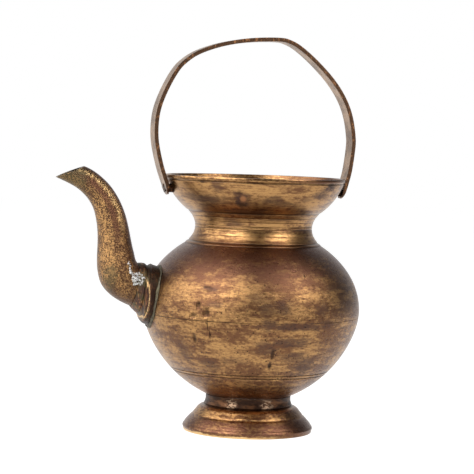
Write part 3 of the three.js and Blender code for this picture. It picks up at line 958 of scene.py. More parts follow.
def drill_pivot(piece, side):
    """Bores a pivot hole through one end of the strap, with a seat for the rivet's head."""
    sizes = bpy.context.scene.pot_strap
    face = strap_middle() + sizes.thickness / 2 - sizes.taper * sizes.pad_half - lean_in(0)
    shank = sizes.rivet_radius + sizes.play
    head = sizes.rivet_head + sizes.play
    profile = [
        (0, face - 2 * sizes.thickness),
        (shank, face - 2 * sizes.thickness),
        (shank, face - sizes.rivet_depth),
        (head, face - sizes.play),
        (head, face + sizes.thickness),
        (0, face + sizes.thickness),
    ]
    points = [(AXIS + side * out, -radius, PIVOT.z) for radius, out in profile]
    drill = spin_round("drill", points, (AXIS, 0, PIVOT.z), (1, 0, 0), DRILL_STEPS)
    cut_away(piece, drill)


def shorten(name, node, reach, pull):
    """A copy of a pin or ring of the pivots, with what lies beyond a reach pulled in."""
    piece = bpy.data.objects.new(name, frame["nodes"][node].data.copy())
    bpy.context.scene.collection.objects.link(piece)
    select_only(piece)
    bpy.ops.object.mode_set(mode="EDIT")
    bpy.ops.mesh.select_all(action="SELECT")
    bpy.ops.mesh.remove_doubles(threshold=MERGE)
    bpy.ops.object.mode_set(mode="OBJECT")
    for vertex in piece.data.vertices:
        out = vertex.co.x - AXIS
        if abs(out) > reach:
            vertex.co.x -= copysign(pull, out)
    settle(piece)
    return piece


def bend_strap():
    sizes = bpy.context.scene.pot_strap
    half = sizes.width / 2
    line = strap_line()
    points = [(x, -half, z) for x, z in line]
    piece = start_point("bent_strap", points[0])
    draw_on(points)
    bpy.ops.mesh.select_all(action="SELECT")
    for _ in range(STRAP_ROWS):
        bpy.ops.mesh.extrude_region_move(
            TRANSFORM_OT_translate={"value": (0, sizes.width / STRAP_ROWS, 0)}
        )
    close_up()
    select_only(piece)
    bpy.ops.object.transform_apply(location=True, rotation=True, scale=True)
    shoulder = PIVOT.z + sizes.tip_rise
    for vertex in piece.data.vertices:
        if vertex.co.z < shoulder:
            share = (shoulder - vertex.co.z) / (sizes.tip_rise + sizes.tip)
            vertex.co.y *= sqrt(max(1 - share**2, 0.01))
    apply_modifier(piece, "SOLIDIFY", thickness=sizes.thickness, offset=0, use_even_offset=True)
    hammer_ends(piece)
    soften(piece, sizes.edge, 3, 50)
    drill_pivot(piece, -1)
    drill_pivot(piece, 1)
    settle(piece)
    return piece


# Materials

STAIN_DEPTH = 0.03  # a stain reaches this far through the wall, either way


class Nodes:
    """A node tree that is built up call by call."""

    def __init__(self, tree):
        self.tree = tree
        tree.nodes.clear()

    def add(self, kind, *inputs, **settings):
        node = self.tree.nodes.new("ShaderNode" + kind)
        for setting, value in settings.items():
            setattr(node, setting, value)
        for socket, value in zip(node.inputs, inputs):
            self.put(socket, value)
        return node

    def put(self, socket, value):
        if isinstance(value, bpy.types.NodeSocket):
            self.tree.links.new(value, socket)
        elif value is not None:
            socket.default_value = value

    def math(self, operation, *values):
        return self.add("Math", *values, operation=operation).outputs[0]


class Finish(Nodes):
    """The nodes of one metal, from a place on the pot to the surface."""

    def __init__(self, name):
        self.material = bpy.data.materials.new(name)
        self.material.use_nodes = True
        super().__init__(self.material.node_tree)
        self.place = self.add("TexCoord").outputs["Object"]
        self.base = None  # the colour so far

    def grain(self, size, stretch=(1, 1, 1), detail=5, rough=0.6, turn=0, warp=0):
        """Noise from 0 to 1, with features of a size in metres."""
        spread = self.add("Mapping", self.place, None, (0, turn, 0), stretch)
        noise = self.add("TexNoise", noise_dimensions="3D", normalize=True)
        self.put(noise.inputs["Vector"], spread.outputs[0])
        self.put(noise.inputs["Scale"], 1 / size)
        self.put(noise.inputs["Detail"], detail)
        self.put(noise.inputs["Roughness"], rough)
        self.put(noise.inputs["Distortion"], warp)
        return noise.outputs[0]

    def step(self, value, low, high):
        """0 below low and 1 above high, smooth between them."""
        node = self.add("MapRange", value, low, high, 0.0, 1.0, interpolation_type="SMOOTHSTEP")
        return node.outputs[0]

    def height(self):
        return self.add("SeparateXYZ", self.place).outputs[2]

    def side(self):
        """Distance from the pot's middle, to the right of the photograph's view."""
        facing = self.add("Mapping", self.place, (-AXIS, 0, 0), (0, 0, radians(15)), (1, 1, 1))
        return self.add("SeparateXYZ", facing.outputs[0]).outputs[0]

    def mix(self, amount, *colours):
        """The second of two colours over the first, by an amount."""
        node = self.add("Mix", amount, data_type="RGBA")
        for socket, value in zip(node.inputs[6:8], colours):
            self.put(socket, value if isinstance(value, bpy.types.NodeSocket) else (*value, 1))
        return node.outputs[2]

    def aged(self, worn, low, high, first, second):
        """Two tones of metal, the second where it is worn."""
        return self.mix(self.step(worn, low, high), first, second)

    def coat(self, tone, *masks):
        """Covers the colour so far with another, where the masks say."""
        self.base = self.mix(self.times(*masks), self.base, tone)

    def pits(self, size, radius, share):
        """Small round pits, in a share of cells of a size."""
        cells = self.add("TexVoronoi", feature="F1")
        self.put(cells.inputs["Vector"], self.place)
        self.put(cells.inputs["Scale"], 1 / size)
        near = self.step(cells.outputs["Distance"], radius, radius * 0.4)
        chance = self.add("SeparateColor", cells.outputs["Color"]).outputs[0]
        return self.math("MULTIPLY", near, self.step(chance, 1 - share, 1.02 - share))

    def times(self, *values):
        """The product of masks and strengths."""
        total = values[0]
        for value in values[1:]:
            total = self.math("MULTIPLY", total, value)
        return total

    def blend(self, *parts, start=0.0):
        """A sum of values, each times its share."""
        total = start
        for value, share in parts:
            total = self.math("MULTIPLY_ADD", value, share, total)
        return total

    def line(self, value, middle, half):
        """1 at the middle and 0 a half width away from it."""
        away = self.math("ABSOLUTE", self.math("SUBTRACT", value, middle))
        return self.step(away, half, half * 0.2)

    def from_axis(self):
        """Distance from the pot's axis."""
        flat = self.add("Mapping", self.place, (-AXIS, 0, 0), (0, 0, 0), (1, 1, 0))
        return self.add("VectorMath", flat.outputs[0], operation="LENGTH").outputs["Value"]

    def reach(self, centre, size, turn=0.0):
        """Distance from a point, in shares of a size."""
        local = self.add("Mapping", self.place, centre, (0, 0, turn), size, vector_type="TEXTURE")
        return self.add("VectorMath", local.outputs[0], operation="LENGTH").outputs["Value"]

    def place_stain(self, centre, size, strength, ragged):
        """A soft-edged patch about a point, with its half sizes."""
        uneven = self.grain(min(size) * 0.8, (1, 1, 1), 6, 0.65)
        edge = self.math("MULTIPLY_ADD", uneven, ragged * 2, self.reach(centre, size))
        return self.math("MULTIPLY", self.step(edge, 1.25 + ragged, 0.55 + ragged), strength)

    def stain(self, stain, radius_at, ragged):
        """A soft-edged patch on the pot's face, at an angle round its axis."""
        centre = Vector((AXIS, 0, 0)) + around(stain.angle, radius_at(stain.height), stain.height)
        size = (stain.width / 2, STAIN_DEPTH, stain.tall / 2)
        uneven = self.grain(0.006, (1, 1, 2.6), 7, 0.72)
        reach = self.reach(centre, size, radians(stain.angle))
        edge = self.math("MULTIPLY_ADD", uneven, ragged * 2, reach)
        return self.math("MULTIPLY", self.step(edge, 1.35 + ragged, 0.45 + ragged), stain.strength)

    def stains(self, stains, radius_at, ragged):
        total = None
        for stain in stains:
            mask = self.stain(stain, radius_at, ragged)
            total = mask if total is None else self.math("MAXIMUM", total, mask)
        return total

    def metal(self, roughness, bump, depth, metallic=1.0):
        shader = self.add("BsdfPrincipled")
        raised = self.add("Bump")
        self.put(raised.inputs["Strength"], 1.0)
        self.put(raised.inputs["Distance"], depth)
        self.put(raised.inputs["Height"], bump)
        self.put(shader.inputs["Base Color"], self.base)
        self.put(shader.inputs["Metallic"], metallic)
        self.put(shader.inputs["Roughness"], roughness)
        self.put(shader.inputs["Normal"], raised.outputs[0])
        self.add("OutputMaterial", shader.outputs[0])
        return self.material


def bowl_brass():
    """Aged brass, purple-brown on the shoulder and golden below, with streaks and pits."""
    tone = bpy.context.scene.pot_metal
    finish = Finish("bowl_brass")
    cloud = finish.grain(0.026, (1, 1, 1.8), 5, 0.6, warp=0.4)
    streak = finish.grain(0.017, (1, 1, 5), 9, 0.68, turn=0.07)
    mottle = finish.grain(0.0034, (1, 1, 1.7), 5, 0.7)
    fine = finish.grain(0.0028, (1, 1, 4.5), 6, 0.72, turn=0.12)
    speck = finish.grain(0.0009, (1, 1, 1.3), 3, 0.7)
    up = finish.height()
    across = finish.side()
    shoulder = finish.step(up, 0.098, 0.119)
    worn = finish.blend((cloud, 0.30), (streak, 0.38), (mottle, 0.32))
    # The shoulder is made a little browner, and the right side of the view browner too, which is
    # painted shade.
    worn = finish.blend((worn, 1.0), (shoulder, -0.03), (finish.step(across, -0.01, 0.05), -0.022))
    finish.base = finish.aged(worn, 0.435, 0.565, tone.brown, tone.gold)
    veil = finish.blend((finish.step(worn, 0.60, 0.42), 0.5), start=0.42)
    finish.coat(tone.purple, shoulder, veil)
    finish.coat(tone.purple, finish.step(fine, 0.47, 0.64), 0.72)
    patches = finish.stains(BELLY_PATCHES, belly_at, 1.7)
    patches = finish.times(patches, finish.blend((finish.step(mottle, 0.4, 0.56), 0.5), start=0.5))
    finish.coat(tone.dusk, patches)
    marks = finish.stains(BELLY_MARKS, belly_at, 0.35)
    finish.coat(tone.dark, marks)
    flaws = finish.math("MAXIMUM", finish.pits(0.0027, 0.26, 0.42), finish.pits(0.0013, 0.34, 0.24))
    pits = finish.times(flaws, finish.step(up, 0.106, 0.088), 0.85)
    finish.coat(tone.dark, pits)
    seam = finish.line(up, SEAM, 0.0005)
    seam = finish.times(seam, finish.step(across, 0.012, -0.02), 0.75)
    finish.coat(tone.dark, seam)
    sizes = bpy.context.scene.pot_bowls
    for side in (-1, 1):
        band = belly_height() - sizes.band_drop + side * sizes.band_spacing / 2
        groove = finish.times(finish.line(up, band, sizes.line_half), 0.7)
        finish.coat(tone.dark, groove)
    copper_foot = finish.times(finish.step(up, 0.036, 0.027), 0.6)
    finish.coat(tone.copper, copper_foot)
    roughness = finish.blend((fine, 0.22), (mottle, 0.14), (patches, 0.1), start=0.12)
    height = finish.blend((fine, 0.45), (mottle, 0.4), (speck, 0.35), (pits, -0.9))
    return finish.metal(roughness, height, 0.0005)


# Soft dark patches of the belly, from the near side's photograph
BELLY_PATCHES = [
    Stain(1.5, 0.0925, 0.013, 0.011, 0.9),
    Stain(-7, 0.0920, 0.010, 0.012, 0.75),
    Stain(-12, 0.0985, 0.012, 0.006, 0.5),
    Stain(9, 0.0800, 0.050, 0.0055, 0.9),
    Stain(-5, 0.0815, 0.011, 0.009, 0.85),
    Stain(7, 0.0695, 0.030, 0.007, 0.85),
    Stain(-6, 0.0655, 0.016, 0.010, 0.7),
    Stain(21, 0.0520, 0.017, 0.014, 0.9),
    Stain(12, 0.0590, 0.020, 0.008, 0.7),
    Stain(-56, 0.0600, 0.011, 0.016, 0.6),
    Stain(-40, 0.0520, 0.015, 0.008, 0.6),
    Stain(-24, 0.0560, 0.018, 0.006, 0.45),
    Stain(24, 0.0915, 0.012, 0.008, 0.75),
    Stain(30, 0.0820, 0.022, 0.005, 0.6),
    Stain(43, 0.0930, 0.014, 0.012, 0.65),
    Stain(36, 0.1045, 0.014, 0.005, 0.6),
    Stain(-38, 0.1035, 0.011, 0.0035, 0.85),
    Stain(-34, 0.0935, 0.012, 0.004, 0.55),
    Stain(140, 0.0850, 0.050, 0.030, 0.8),
    Stain(185, 0.0640, 0.040, 0.014, 0.8),
    Stain(225, 0.0930, 0.060, 0.016, 0.75),
    Stain(95, 0.0700, 0.030, 0.016, 0.8),
]
# Small black marks, the dents' floors and the crack
BELLY_MARKS = [
    Stain(-2, 0.0610, 0.0030, 0.0075, 0.85),
    Stain(-2.5, 0.0530, 0.0028, 0.0055, 0.9),
    Stain(-46, 0.0850, 0.0050, 0.0035, 0.6),
    Stain(-38, 0.0875, 0.0034, 0.0062, 0.7),
    Stain(-43, 0.0925, 0.0026, 0.0050, 0.6),
    Stain(-37.6, 0.0800, 0.0010, 0.0080, 0.85),
    Stain(-36.6, 0.0735, 0.0008, 0.0080, 0.85),
    Stain(-46, 0.0700, 0.0030, 0.0070, 0.75),
    Stain(-17, 0.1060, 0.0016, 0.0010, 0.8),
    Stain(17, 0.1135, 0.0014, 0.0018, 0.8),
    Stain(-8, 0.1075, 0.0012, 0.0012, 0.8),
    Stain(42, 0.0780, 0.0080, 0.0015, 0.6),
]


def mouth_brass():
    """Turned brass, rubbed gold, with dark blotches on the cup."""
    tone = bpy.context.scene.pot_metal
    finish = Finish("mouth_brass")
    cloud = finish.grain(0.018, (1, 1, 2.2), 6, 0.62, warp=0.5)
    streak = finish.grain(0.014, (1, 1, 10), 8, 0.64)
    mottle = finish.grain(0.0030, (1, 1, 2), 5, 0.7)
    fine = finish.grain(0.0028, (1, 1, 12), 5, 0.7)
    up = finish.height()
    across = finish.side()
    worn = finish.blend((cloud, 0.32), (streak, 0.36), (mottle, 0.32))
    # The right side of the view is made browner, which is painted shade.
    worn = finish.blend((worn, 1.0), (finish.step(across, 0.01, 0.06), -0.02))
    finish.base = finish.aged(worn, 0.41, 0.55, tone.brown, tone.gold)
    root = finish.times(finish.step(up, 0.137, 0.131), 0.7)
    finish.coat(tone.purple, root)
    grime = finish.times(finish.step(fine, 0.50, 0.66), 0.42)
    finish.coat(tone.purple, grime)
    patches = finish.stains(MOUTH_PATCHES, mouth_radius_at, 1.5)
    patches = finish.times(patches, finish.blend((finish.step(mottle, 0.4, 0.56), 0.5), start=0.5))
    finish.coat(tone.dusk, patches)
    marks = finish.stains(MOUTH_MARKS, mouth_radius_at, 0.4)
    finish.coat(tone.dark, marks)
    clean = finish.stain(Stain(-22.8, 0.1638, 0.0045, 0.0045, 0.75), mouth_radius_at, 0.4)
    finish.coat(tone.copper, clean)
    # Painted shade: dark lines along the turned grooves and under the lip, broken up by the
    # streaks.
    for height, half, strength in groove_shades():
        line = finish.times(finish.line(up, height, half), finish.step(streak, 0.36, 0.5), strength)
        finish.coat(tone.dark, line)
    lip = finish.times(finish.step(up, RIM - 0.0027, RIM - 0.0024), 0.75)
    coppery = finish.aged(mottle, 0.44, 0.6, tone.brown, tone.gold)
    dull = finish.mix(finish.step(across, 0.0, 0.045), coppery, tone.purple)
    finish.coat(dull, lip)
    roughness = finish.blend((fine, 0.08), (mottle, 0.08), (patches, 0.16), start=0.23)
    height = finish.blend((fine, 0.6), (mottle, 0.3), (patches, -0.3))
    return finish.metal(roughness, height, 0.00012)


def mouth_radius_at(height):
    return radius_on(mouth_line(), height)


def groove_shades():
    """Painted shade in the turned lines: height, half width and strength."""
    waist = SHOULDER + bpy.context.scene.pot_mouth.waist_rise
    return [
        (SHOULDER + 0.0021, 0.0008, 0.6),
        (SHOULDER + 0.0001, 0.0005, 0.7),
        (waist - 0.0003, 0.0006, 0.65),
        (waist + 0.0018, 0.0005, 0.5),
        (waist + 0.0046, 0.0004, 0.4),
        (waist + 0.0075, 0.0006, 0.6),
        (waist + 0.0107, 0.0011, 0.7),
        (RIM - 0.0034, 0.0006, 0.8),
        (RIM - 0.0013, 0.0003, 0.7),
    ]


# Soft dark patches of the cup and neck
MOUTH_PATCHES = [
    Stain(-24, 0.1638, 0.0105, 0.0120, 1.0),
    Stain(-40, 0.1722, 0.0095, 0.0100, 0.75),
    Stain(-48, 0.1630, 0.030, 0.0055, 0.75),
    Stain(-66, 0.1640, 0.020, 0.0050, 0.6),
    Stain(-2, 0.1632, 0.015, 0.0055, 0.8),
    Stain(6, 0.1608, 0.020, 0.0030, 0.7),
    Stain(-20, 0.1547, 0.040, 0.0040, 0.75),
    Stain(42, 0.1722, 0.015, 0.0055, 1.0),
    Stain(36, 0.1675, 0.017, 0.0060, 0.9),
    Stain(24, 0.1640, 0.012, 0.0030, 0.5),
    Stain(-35, 0.1465, 0.014, 0.0060, 0.7),
    Stain(38, 0.1425, 0.015, 0.0016, 0.8),
    Stain(10, 0.1500, 0.020, 0.0025, 0.5),
    Stain(120, 0.1660, 0.030, 0.010, 0.8),
    Stain(175, 0.1620, 0.050, 0.006, 0.8),
    Stain(230, 0.1690, 0.026, 0.011, 0.8),
]
MOUTH_MARKS = [
    Stain(-50, 0.1743, 0.0050, 0.0014, 0.9),
    Stain(-24, 0.1595, 0.0060, 0.0030, 0.6),
    Stain(-25, 0.1680, 0.0050, 0.0025, 0.5),
    Stain(13, 0.1746, 0.0080, 0.0008, 0.8),
    Stain(43, 0.1738, 0.0100, 0.0030, 0.7),
]


def foot_brass():
    """Dull brown stem with painted highlights, rubbed gold roll, purple-brown slope, painted shade
    where the stem meets the roll, and a painted highlight on the worn bottom edge.
    """
    tone = bpy.context.scene.pot_metal
    finish = Finish("foot_brass")
    cloud = finish.grain(0.012, (1, 1, 3), 6, 0.65)
    mottle = finish.grain(0.0026, (1, 1, 1.8), 5, 0.72)
    fine = finish.grain(0.0024, (1, 1, 9), 5, 0.7)
    up = finish.height()
    across = finish.side()
    uneven = finish.blend((up, 1.0), (cloud, 0.006), start=-0.003)
    worn = finish.blend((cloud, 0.5), (mottle, 0.5))
    finish.base = finish.aged(worn, 0.44, 0.55, tone.brown, tone.gold)
    stem = finish.step(up, 0.0178, 0.0188)
    finish.coat(finish.aged(cloud, 0.45, 0.65, tone.dark, tone.brown), stem)
    # Painted highlights: speckled tan patches on the stem where the soft boxes reflect.
    rubbed = finish.stains(STEM_HIGHLIGHTS, lambda height: STEM_HIGHLIGHT_RADIUS, 0.8)
    finish.coat(tone.tan, rubbed, finish.step(mottle, 0.47, 0.53))
    slope = finish.times(finish.step(uneven, 0.0118, 0.0092), finish.step(uneven, 0.0008, 0.0024))
    slope = finish.times(slope, finish.blend((finish.step(mottle, 0.62, 0.46), 0.4), start=0.55))
    finish.coat(tone.purple, slope)
    right = finish.times(finish.step(across, 0.012, 0.032), finish.step(up, 0.018, 0.0172), 0.6)
    finish.coat(tone.purple, right)
    # Painted shade in the groove where the stem meets the roll.
    crevice_shade = finish.times(finish.line(up, 0.0182, 0.0008), 0.6)
    finish.coat(tone.dark, crevice_shade)
    grime = finish.times(finish.step(fine, 0.5, 0.64), 0.5)
    finish.coat(tone.purple, grime)
    # A painted highlight on the worn bottom edge, on the left side of the view only.
    edge = finish.step(uneven, 0.0019, 0.0007)
    edge = finish.times(edge, finish.step(across, 0.03, -0.005), 0.85)
    finish.coat(tone.highlight_gold, edge)
    roughness = finish.blend((fine, 0.2), (mottle, 0.16), (stem, 0.12), start=0.12)
    height = finish.blend((fine, 0.5), (mottle, 0.6))
    return finish.metal(roughness, height, 0.00028)


# Painted highlights on the stem: the radius they lie at, and the patches.
STEM_HIGHLIGHT_RADIUS = 0.0301
STEM_HIGHLIGHTS = [Stain(-38, 0.0208, 0.008, 0.009, 1.0), Stain(10, 0.0205, 0.009, 0.009, 1.0)]


def collar_brass():
    """Rough casting, dark brown and olive, with copper showing in upright streaks, a painted
    highlight on the flange's rim and painted shade at its foot.
    """
    tone = bpy.context.scene.pot_metal
    finish = Finish("collar_brass")
    streak = finish.grain(0.0055, (3.2, 3.2, 0.8), 6, 0.66)
    mottle = finish.grain(0.0022, (1.4, 1.4, 0.8), 5, 0.72)
    cloud = finish.grain(0.009, (1.6, 1.6, 0.8), 4, 0.6)
    finish.base = finish.aged(cloud, 0.42, 0.56, tone.olive, tone.dusk)
    copper = finish.times(finish.step(streak, 0.49, 0.60), 0.55)
    finish.coat(tone.copper, copper)
    finish.coat(tone.dark, finish.step(mottle, 0.54, 0.66))
    out = finish.from_axis()
    # A painted highlight on the lower part of the flange's rim.
    edge = finish.times(finish.line(out, 0.0797, 0.0005), finish.step(mottle, 0.42, 0.5), 0.85)
    edge = finish.times(edge, finish.step(finish.height(), 0.109, 0.102))
    finish.coat(tone.highlight_gold, edge)
    # Painted shade in the crevice where the collar meets the belly.
    crevice_shade = finish.times(finish.step(out, 0.0789, 0.0784), 0.75)
    finish.coat(tone.dark, crevice_shade)
    roughness = finish.blend((mottle, 0.3), (streak, 0.1), start=0.22)
    height = finish.blend((mottle, 0.7), (streak, 0.7))
    return finish.metal(roughness, height, 0.0006)


def spout_brass():
    """Speckled cast brass with an olive tip, painted light on its lower side, painted shade beside
    the ridge and on the far flank, and a painted highlight on the ridge.
    """
    tone = bpy.context.scene.pot_metal
    sizes = bpy.context.scene.pot_spout
    finish = Finish("spout_brass")
    speck = finish.grain(0.0010, (1, 1, 1.1), 4, 0.75)
    mottle = finish.grain(0.0036, (1, 1, 0.7), 6, 0.7)
    cloud = finish.grain(0.014, (1.3, 1, 0.6), 4, 0.55)
    turn = finish.add("Attribute", attribute_name="turn").outputs["Fac"]
    turn = finish.blend((turn, 1.0), (mottle, 0.5), start=-0.25)
    up = finish.height()
    high = finish.step(up, 0.132, 0.150)
    worn = finish.blend((speck, 0.66), (mottle, 0.22), (cloud, 0.12))
    # Painted light: the tube's lower side is made more golden, and the rest a little browner.
    lit_side = finish.step(turn, 0.15, -0.45)
    worn = finish.blend((worn, 1.0), (lit_side, 0.018), start=-0.02)
    finish.base = finish.aged(worn, 0.465, 0.56, tone.umber, tone.gold)
    # Painted shade in a purple band over the hollow beside the ridge.
    shade = sizes.ridge_turn - 0.5
    band = finish.times(finish.line(turn, shade, 0.35), finish.step(up, 0.120, 0.150), 0.75)
    finish.coat(tone.purple, band)
    # A painted highlight along the ridge's upper part, speckled.
    ridge = finish.line(turn, sizes.ridge_turn, 0.28)
    rubbed = finish.times(ridge, high, finish.step(speck, 0.40, 0.56), 0.8)
    finish.coat(tone.highlight_gold, rubbed)
    # Painted shade on the far flank of the tube.
    flank = finish.times(finish.step(turn, 0.75, 1.15), 0.9)
    finish.coat(tone.purple, flank)
    out = finish.from_axis()
    tip = finish.times(finish.step(finish.blend((out, 1.0), (mottle, 0.03)), 0.130, 0.141), 0.85)
    tip = finish.times(tip, finish.blend((finish.step(speck, 0.6, 0.45), 0.5), start=0.5))
    finish.coat(tone.olive, tip)
    low = finish.times(finish.step(finish.blend((up, 1.0), (cloud, 0.03)), 0.117, 0.107), 0.7)
    finish.coat(tone.umber, low)
    patch = finish.place_stain((-0.0705, -0.0120, 0.1060), (0.004, 0.02, 0.010), 0.6, 2.4)
    finish.coat(tone.olive, patch)
    pits = finish.pits(0.0014, 0.34, 0.36)
    finish.coat(tone.dark, pits, 0.85)
    roughness = finish.blend((speck, 0.3), (tip, 0.15), start=0.16)
    height = finish.blend((speck, 0.9), (mottle, 0.5), (pits, -0.8))
    return finish.metal(roughness, height, 0.0007)


def strap_brass():
    """Flat faces rubbed dull tan, and dark edges with flecks of copper."""
    tone = bpy.context.scene.pot_metal
    finish = Finish("strap_brass")
    cloud = finish.grain(0.012, (1, 1, 1), 5, 0.6)
    fleck = finish.grain(0.0022, (1, 1, 0.6), 5, 0.72)
    fine = finish.grain(0.0035, (1, 4, 0.6), 5, 0.7)
    facing = finish.add("SeparateXYZ", finish.add("TexCoord").outputs["Normal"]).outputs[1]
    edge = finish.step(finish.math("ABSOLUTE", facing), 0.55, 0.8)
    face = finish.blend((cloud, 0.6), (fine, 0.4))
    finish.base = finish.aged(face, 0.42, 0.58, tone.taupe, tone.tan)
    rim = finish.aged(fleck, 0.54, 0.66, tone.umber, tone.copper)
    finish.coat(rim, edge, 0.95)
    grime = finish.times(finish.step(fleck, 0.56, 0.68), 0.3)
    finish.coat(tone.dark, grime)
    roughness = finish.blend((fine, 0.2), (edge, 0.1), start=0.26)
    height = finish.blend((fine, 0.6), (fleck, 0.5))
    return finish.metal(roughness, height, 0.0003)


def rivet_brass():
    """Dark hammered brass, hardly rubbed."""
    tone = bpy.context.scene.pot_metal
    finish = Finish("rivet_brass")
    mottle = finish.grain(0.0016, (1, 1, 1), 5, 0.7)
    finish.base = finish.aged(mottle, 0.5, 0.62, tone.dark, tone.brown)
    roughness = finish.blend((mottle, 0.3), start=0.3)
    return finish.metal(roughness, mottle, 0.0004)


def old_solder():
    """Dull grey-green solder with dirt in it."""
    tone = bpy.context.scene.pot_metal
    finish = Finish("old_solder")
    mottle = finish.grain(0.0018, (1, 1, 0.6), 5, 0.7)
    cloud = finish.grain(0.007, (1, 1, 1), 4, 0.6)
    finish.base = finish.aged(cloud, 0.42, 0.56, tone.olive, tone.solder)
    finish.coat(tone.dark, finish.step(mottle, 0.5, 0.62), 0.7)
    roughness = finish.blend((mottle, 0.3), start=0.34)
    return finish.metal(roughness, mottle, 0.0005, 0.7)


def tin_solder():
    """Bright rough tin, dull in its hollows."""
    tone = bpy.context.scene.pot_metal
    finish = Finish("tin_solder")
    mottle = finish.grain(0.0009, (1, 1, 1), 4, 0.7)
    finish.base = finish.aged(mottle, 0.43, 0.55, tone.solder, tone.tin)
    roughness = finish.blend((mottle, 0.3), start=0.2)
    return finish.metal(roughness, mottle, 0.0004, 0.8)


def dress(piece, material):
    piece.data.materials.clear()
    piece.data.materials.append(material)


def fit(piece, body, slot, material, *nodes):
    """Gives a finished piece its metal and its body, and hides the nodes that it stands for."""
    dress(piece, material)
    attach(piece, body)
    if nodes:
        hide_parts(*nodes)


# Operators


class TurnBowls(bpy.types.Operator):
    """Turn the two halves of the belly"""

    bl_idname = "pot.turn_bowls"
    bl_label = "Turn the bowls"

    def execute(self, context):
        metal = bowl_brass()
        for piece, node, dents in (
            (turn_upper_bowl(), "upper_bowl", UPPER_DENTS),
            (turn_lower_bowl(), "lower_bowl", LOWER_DENTS),
        ):
            waver(piece, size=0.03, strength=0.0003)
            press_dents(piece, dents)
            settle(piece)
            fit(piece, "vessel", "bowl_brass", metal, node)
        return {"FINISHED"}


class TurnMouth(bpy.types.Operator):
    """Turn the neck, the cup and the lip"""

    bl_idname = "pot.turn_mouth"
    bl_label = "Turn the mouth"

    def execute(self, context):
        fit(turn_mouth(), "vessel", "mouth_brass", mouth_brass(), "mouth_collar")
        return {"FINISHED"}


class TurnFoot(bpy.types.Operator):
    """Turn the hollow foot"""

    bl_idname = "pot.turn_foot"
    bl_label = "Turn the foot"

    def execute(self, context):
        fit(turn_foot(), "vessel", "foot_brass", foot_brass(), "foot")
        return {"FINISHED"}


class CastSpout(bpy.types.Operator):
    """Cast the spout's tube and its collar"""

    bl_idname = "pot.cast_spout"
    bl_label = "Cast the spout"

    def execute(self, context):
        fit(make_tube(), "vessel", "spout_brass", spout_brass(), "spout_tube")
        fit(make_collar(), "vessel", "collar_brass", collar_brass(), "spout_collar")
        return {"FINISHED"}


class RunSolder(bpy.types.Operator):
    """Run the solder round the spout"""

    bl_idname = "pot.run_solder"
    bl_label = "Run the solder"

    def execute(self, context):
        targets = [bpy.data.objects[name] for name in ("cast_collar", "cast_spout")]
        fit(run_solder(), "vessel", "old_solder", old_solder(), "collar_solder")
        fit(splash_tin(*targets), "vessel", "tin_solder", tin_solder(), "spout_solder")
        return {"FINISHED"}


class BendStrap(bpy.types.Operator):
    """Bend the strap of the handle"""

    bl_idname = "pot.bend_strap"
    bl_label = "Bend the strap"

    def execute(self, context):
        fit(bend_strap(), "bail", "strap_brass", strap_brass(), "bail_handle")
        return {"FINISHED"}


class SetRivets(bpy.types.Operator):
    """Set the rivets, spacers and washers of the handle"""

    bl_idname = "pot.set_rivets"
    bl_label = "Set the rivets"

    def execute(self, context):
        metal = rivet_brass()
        sizes = context.scene.pot_strap
        face = strap_middle() + sizes.thickness / 2 - sizes.taper * sizes.pad_half
        inner = strap_middle() - sizes.thickness / 2
        slack = sizes.lean * sizes.rivet_head
        for side in ("spout_side", "far_side"):
            rivet = shorten(
                f"peened_rivet_{side}", f"rivet_{side}", face - 2 * sizes.rivet_depth, lean_in(0)
            )
            fit(rivet, "vessel", "rivet_brass", metal, f"rivet_{side}")
            spacer = shorten(
                f"worn_spacer_{side}", f"spacer_{side}", inner - 2 * sizes.play, lean_in(0) + slack
            )
            fit(spacer, "vessel", "rivet_brass", metal, f"spacer_{side}")
            dress(frame["nodes"][f"washer_{side}"], metal)
        return {"FINISHED"}


def camera_axes(studio):
    """Right, up and forward of the level camera."""
    turn, pitch = studio.turn, studio.pitch
    forward = Vector((-sin(turn) * cos(pitch), cos(turn) * cos(pitch), -sin(pitch)))
    right = Vector((cos(turn), sin(turn), 0))
    return right, right.cross(forward), forward


def add_lamp(name, side, rise, size, share):
    """A soft box at an angle to the side of the camera and up, that faces the pot."""
    studio = bpy.context.scene.pot_studio
    right, _, forward = camera_axes(studio)
    back = Vector((-forward.x, -forward.y, 0)).normalized()
    turn, up = radians(side), radians(rise)
    way = (back * cos(turn) + right * sin(turn)) * cos(up) + Vector((0, 0, sin(up)))
    middle = Vector((AXIS, 0, studio.middle))
    bpy.ops.object.light_add(
        type="AREA",
        location=middle + way * LAMP_DISTANCE,
        rotation=way.to_track_quat("Z", "Y").to_euler(),
    )
    lamp = bpy.context.object
    lamp.name = lamp.data.name = name
    lamp.data.shape = "RECTANGLE"
    lamp.data.size, lamp.data.size_y = size
    lamp.data.energy = studio.lamp * share * pi * size[0] * size[1]


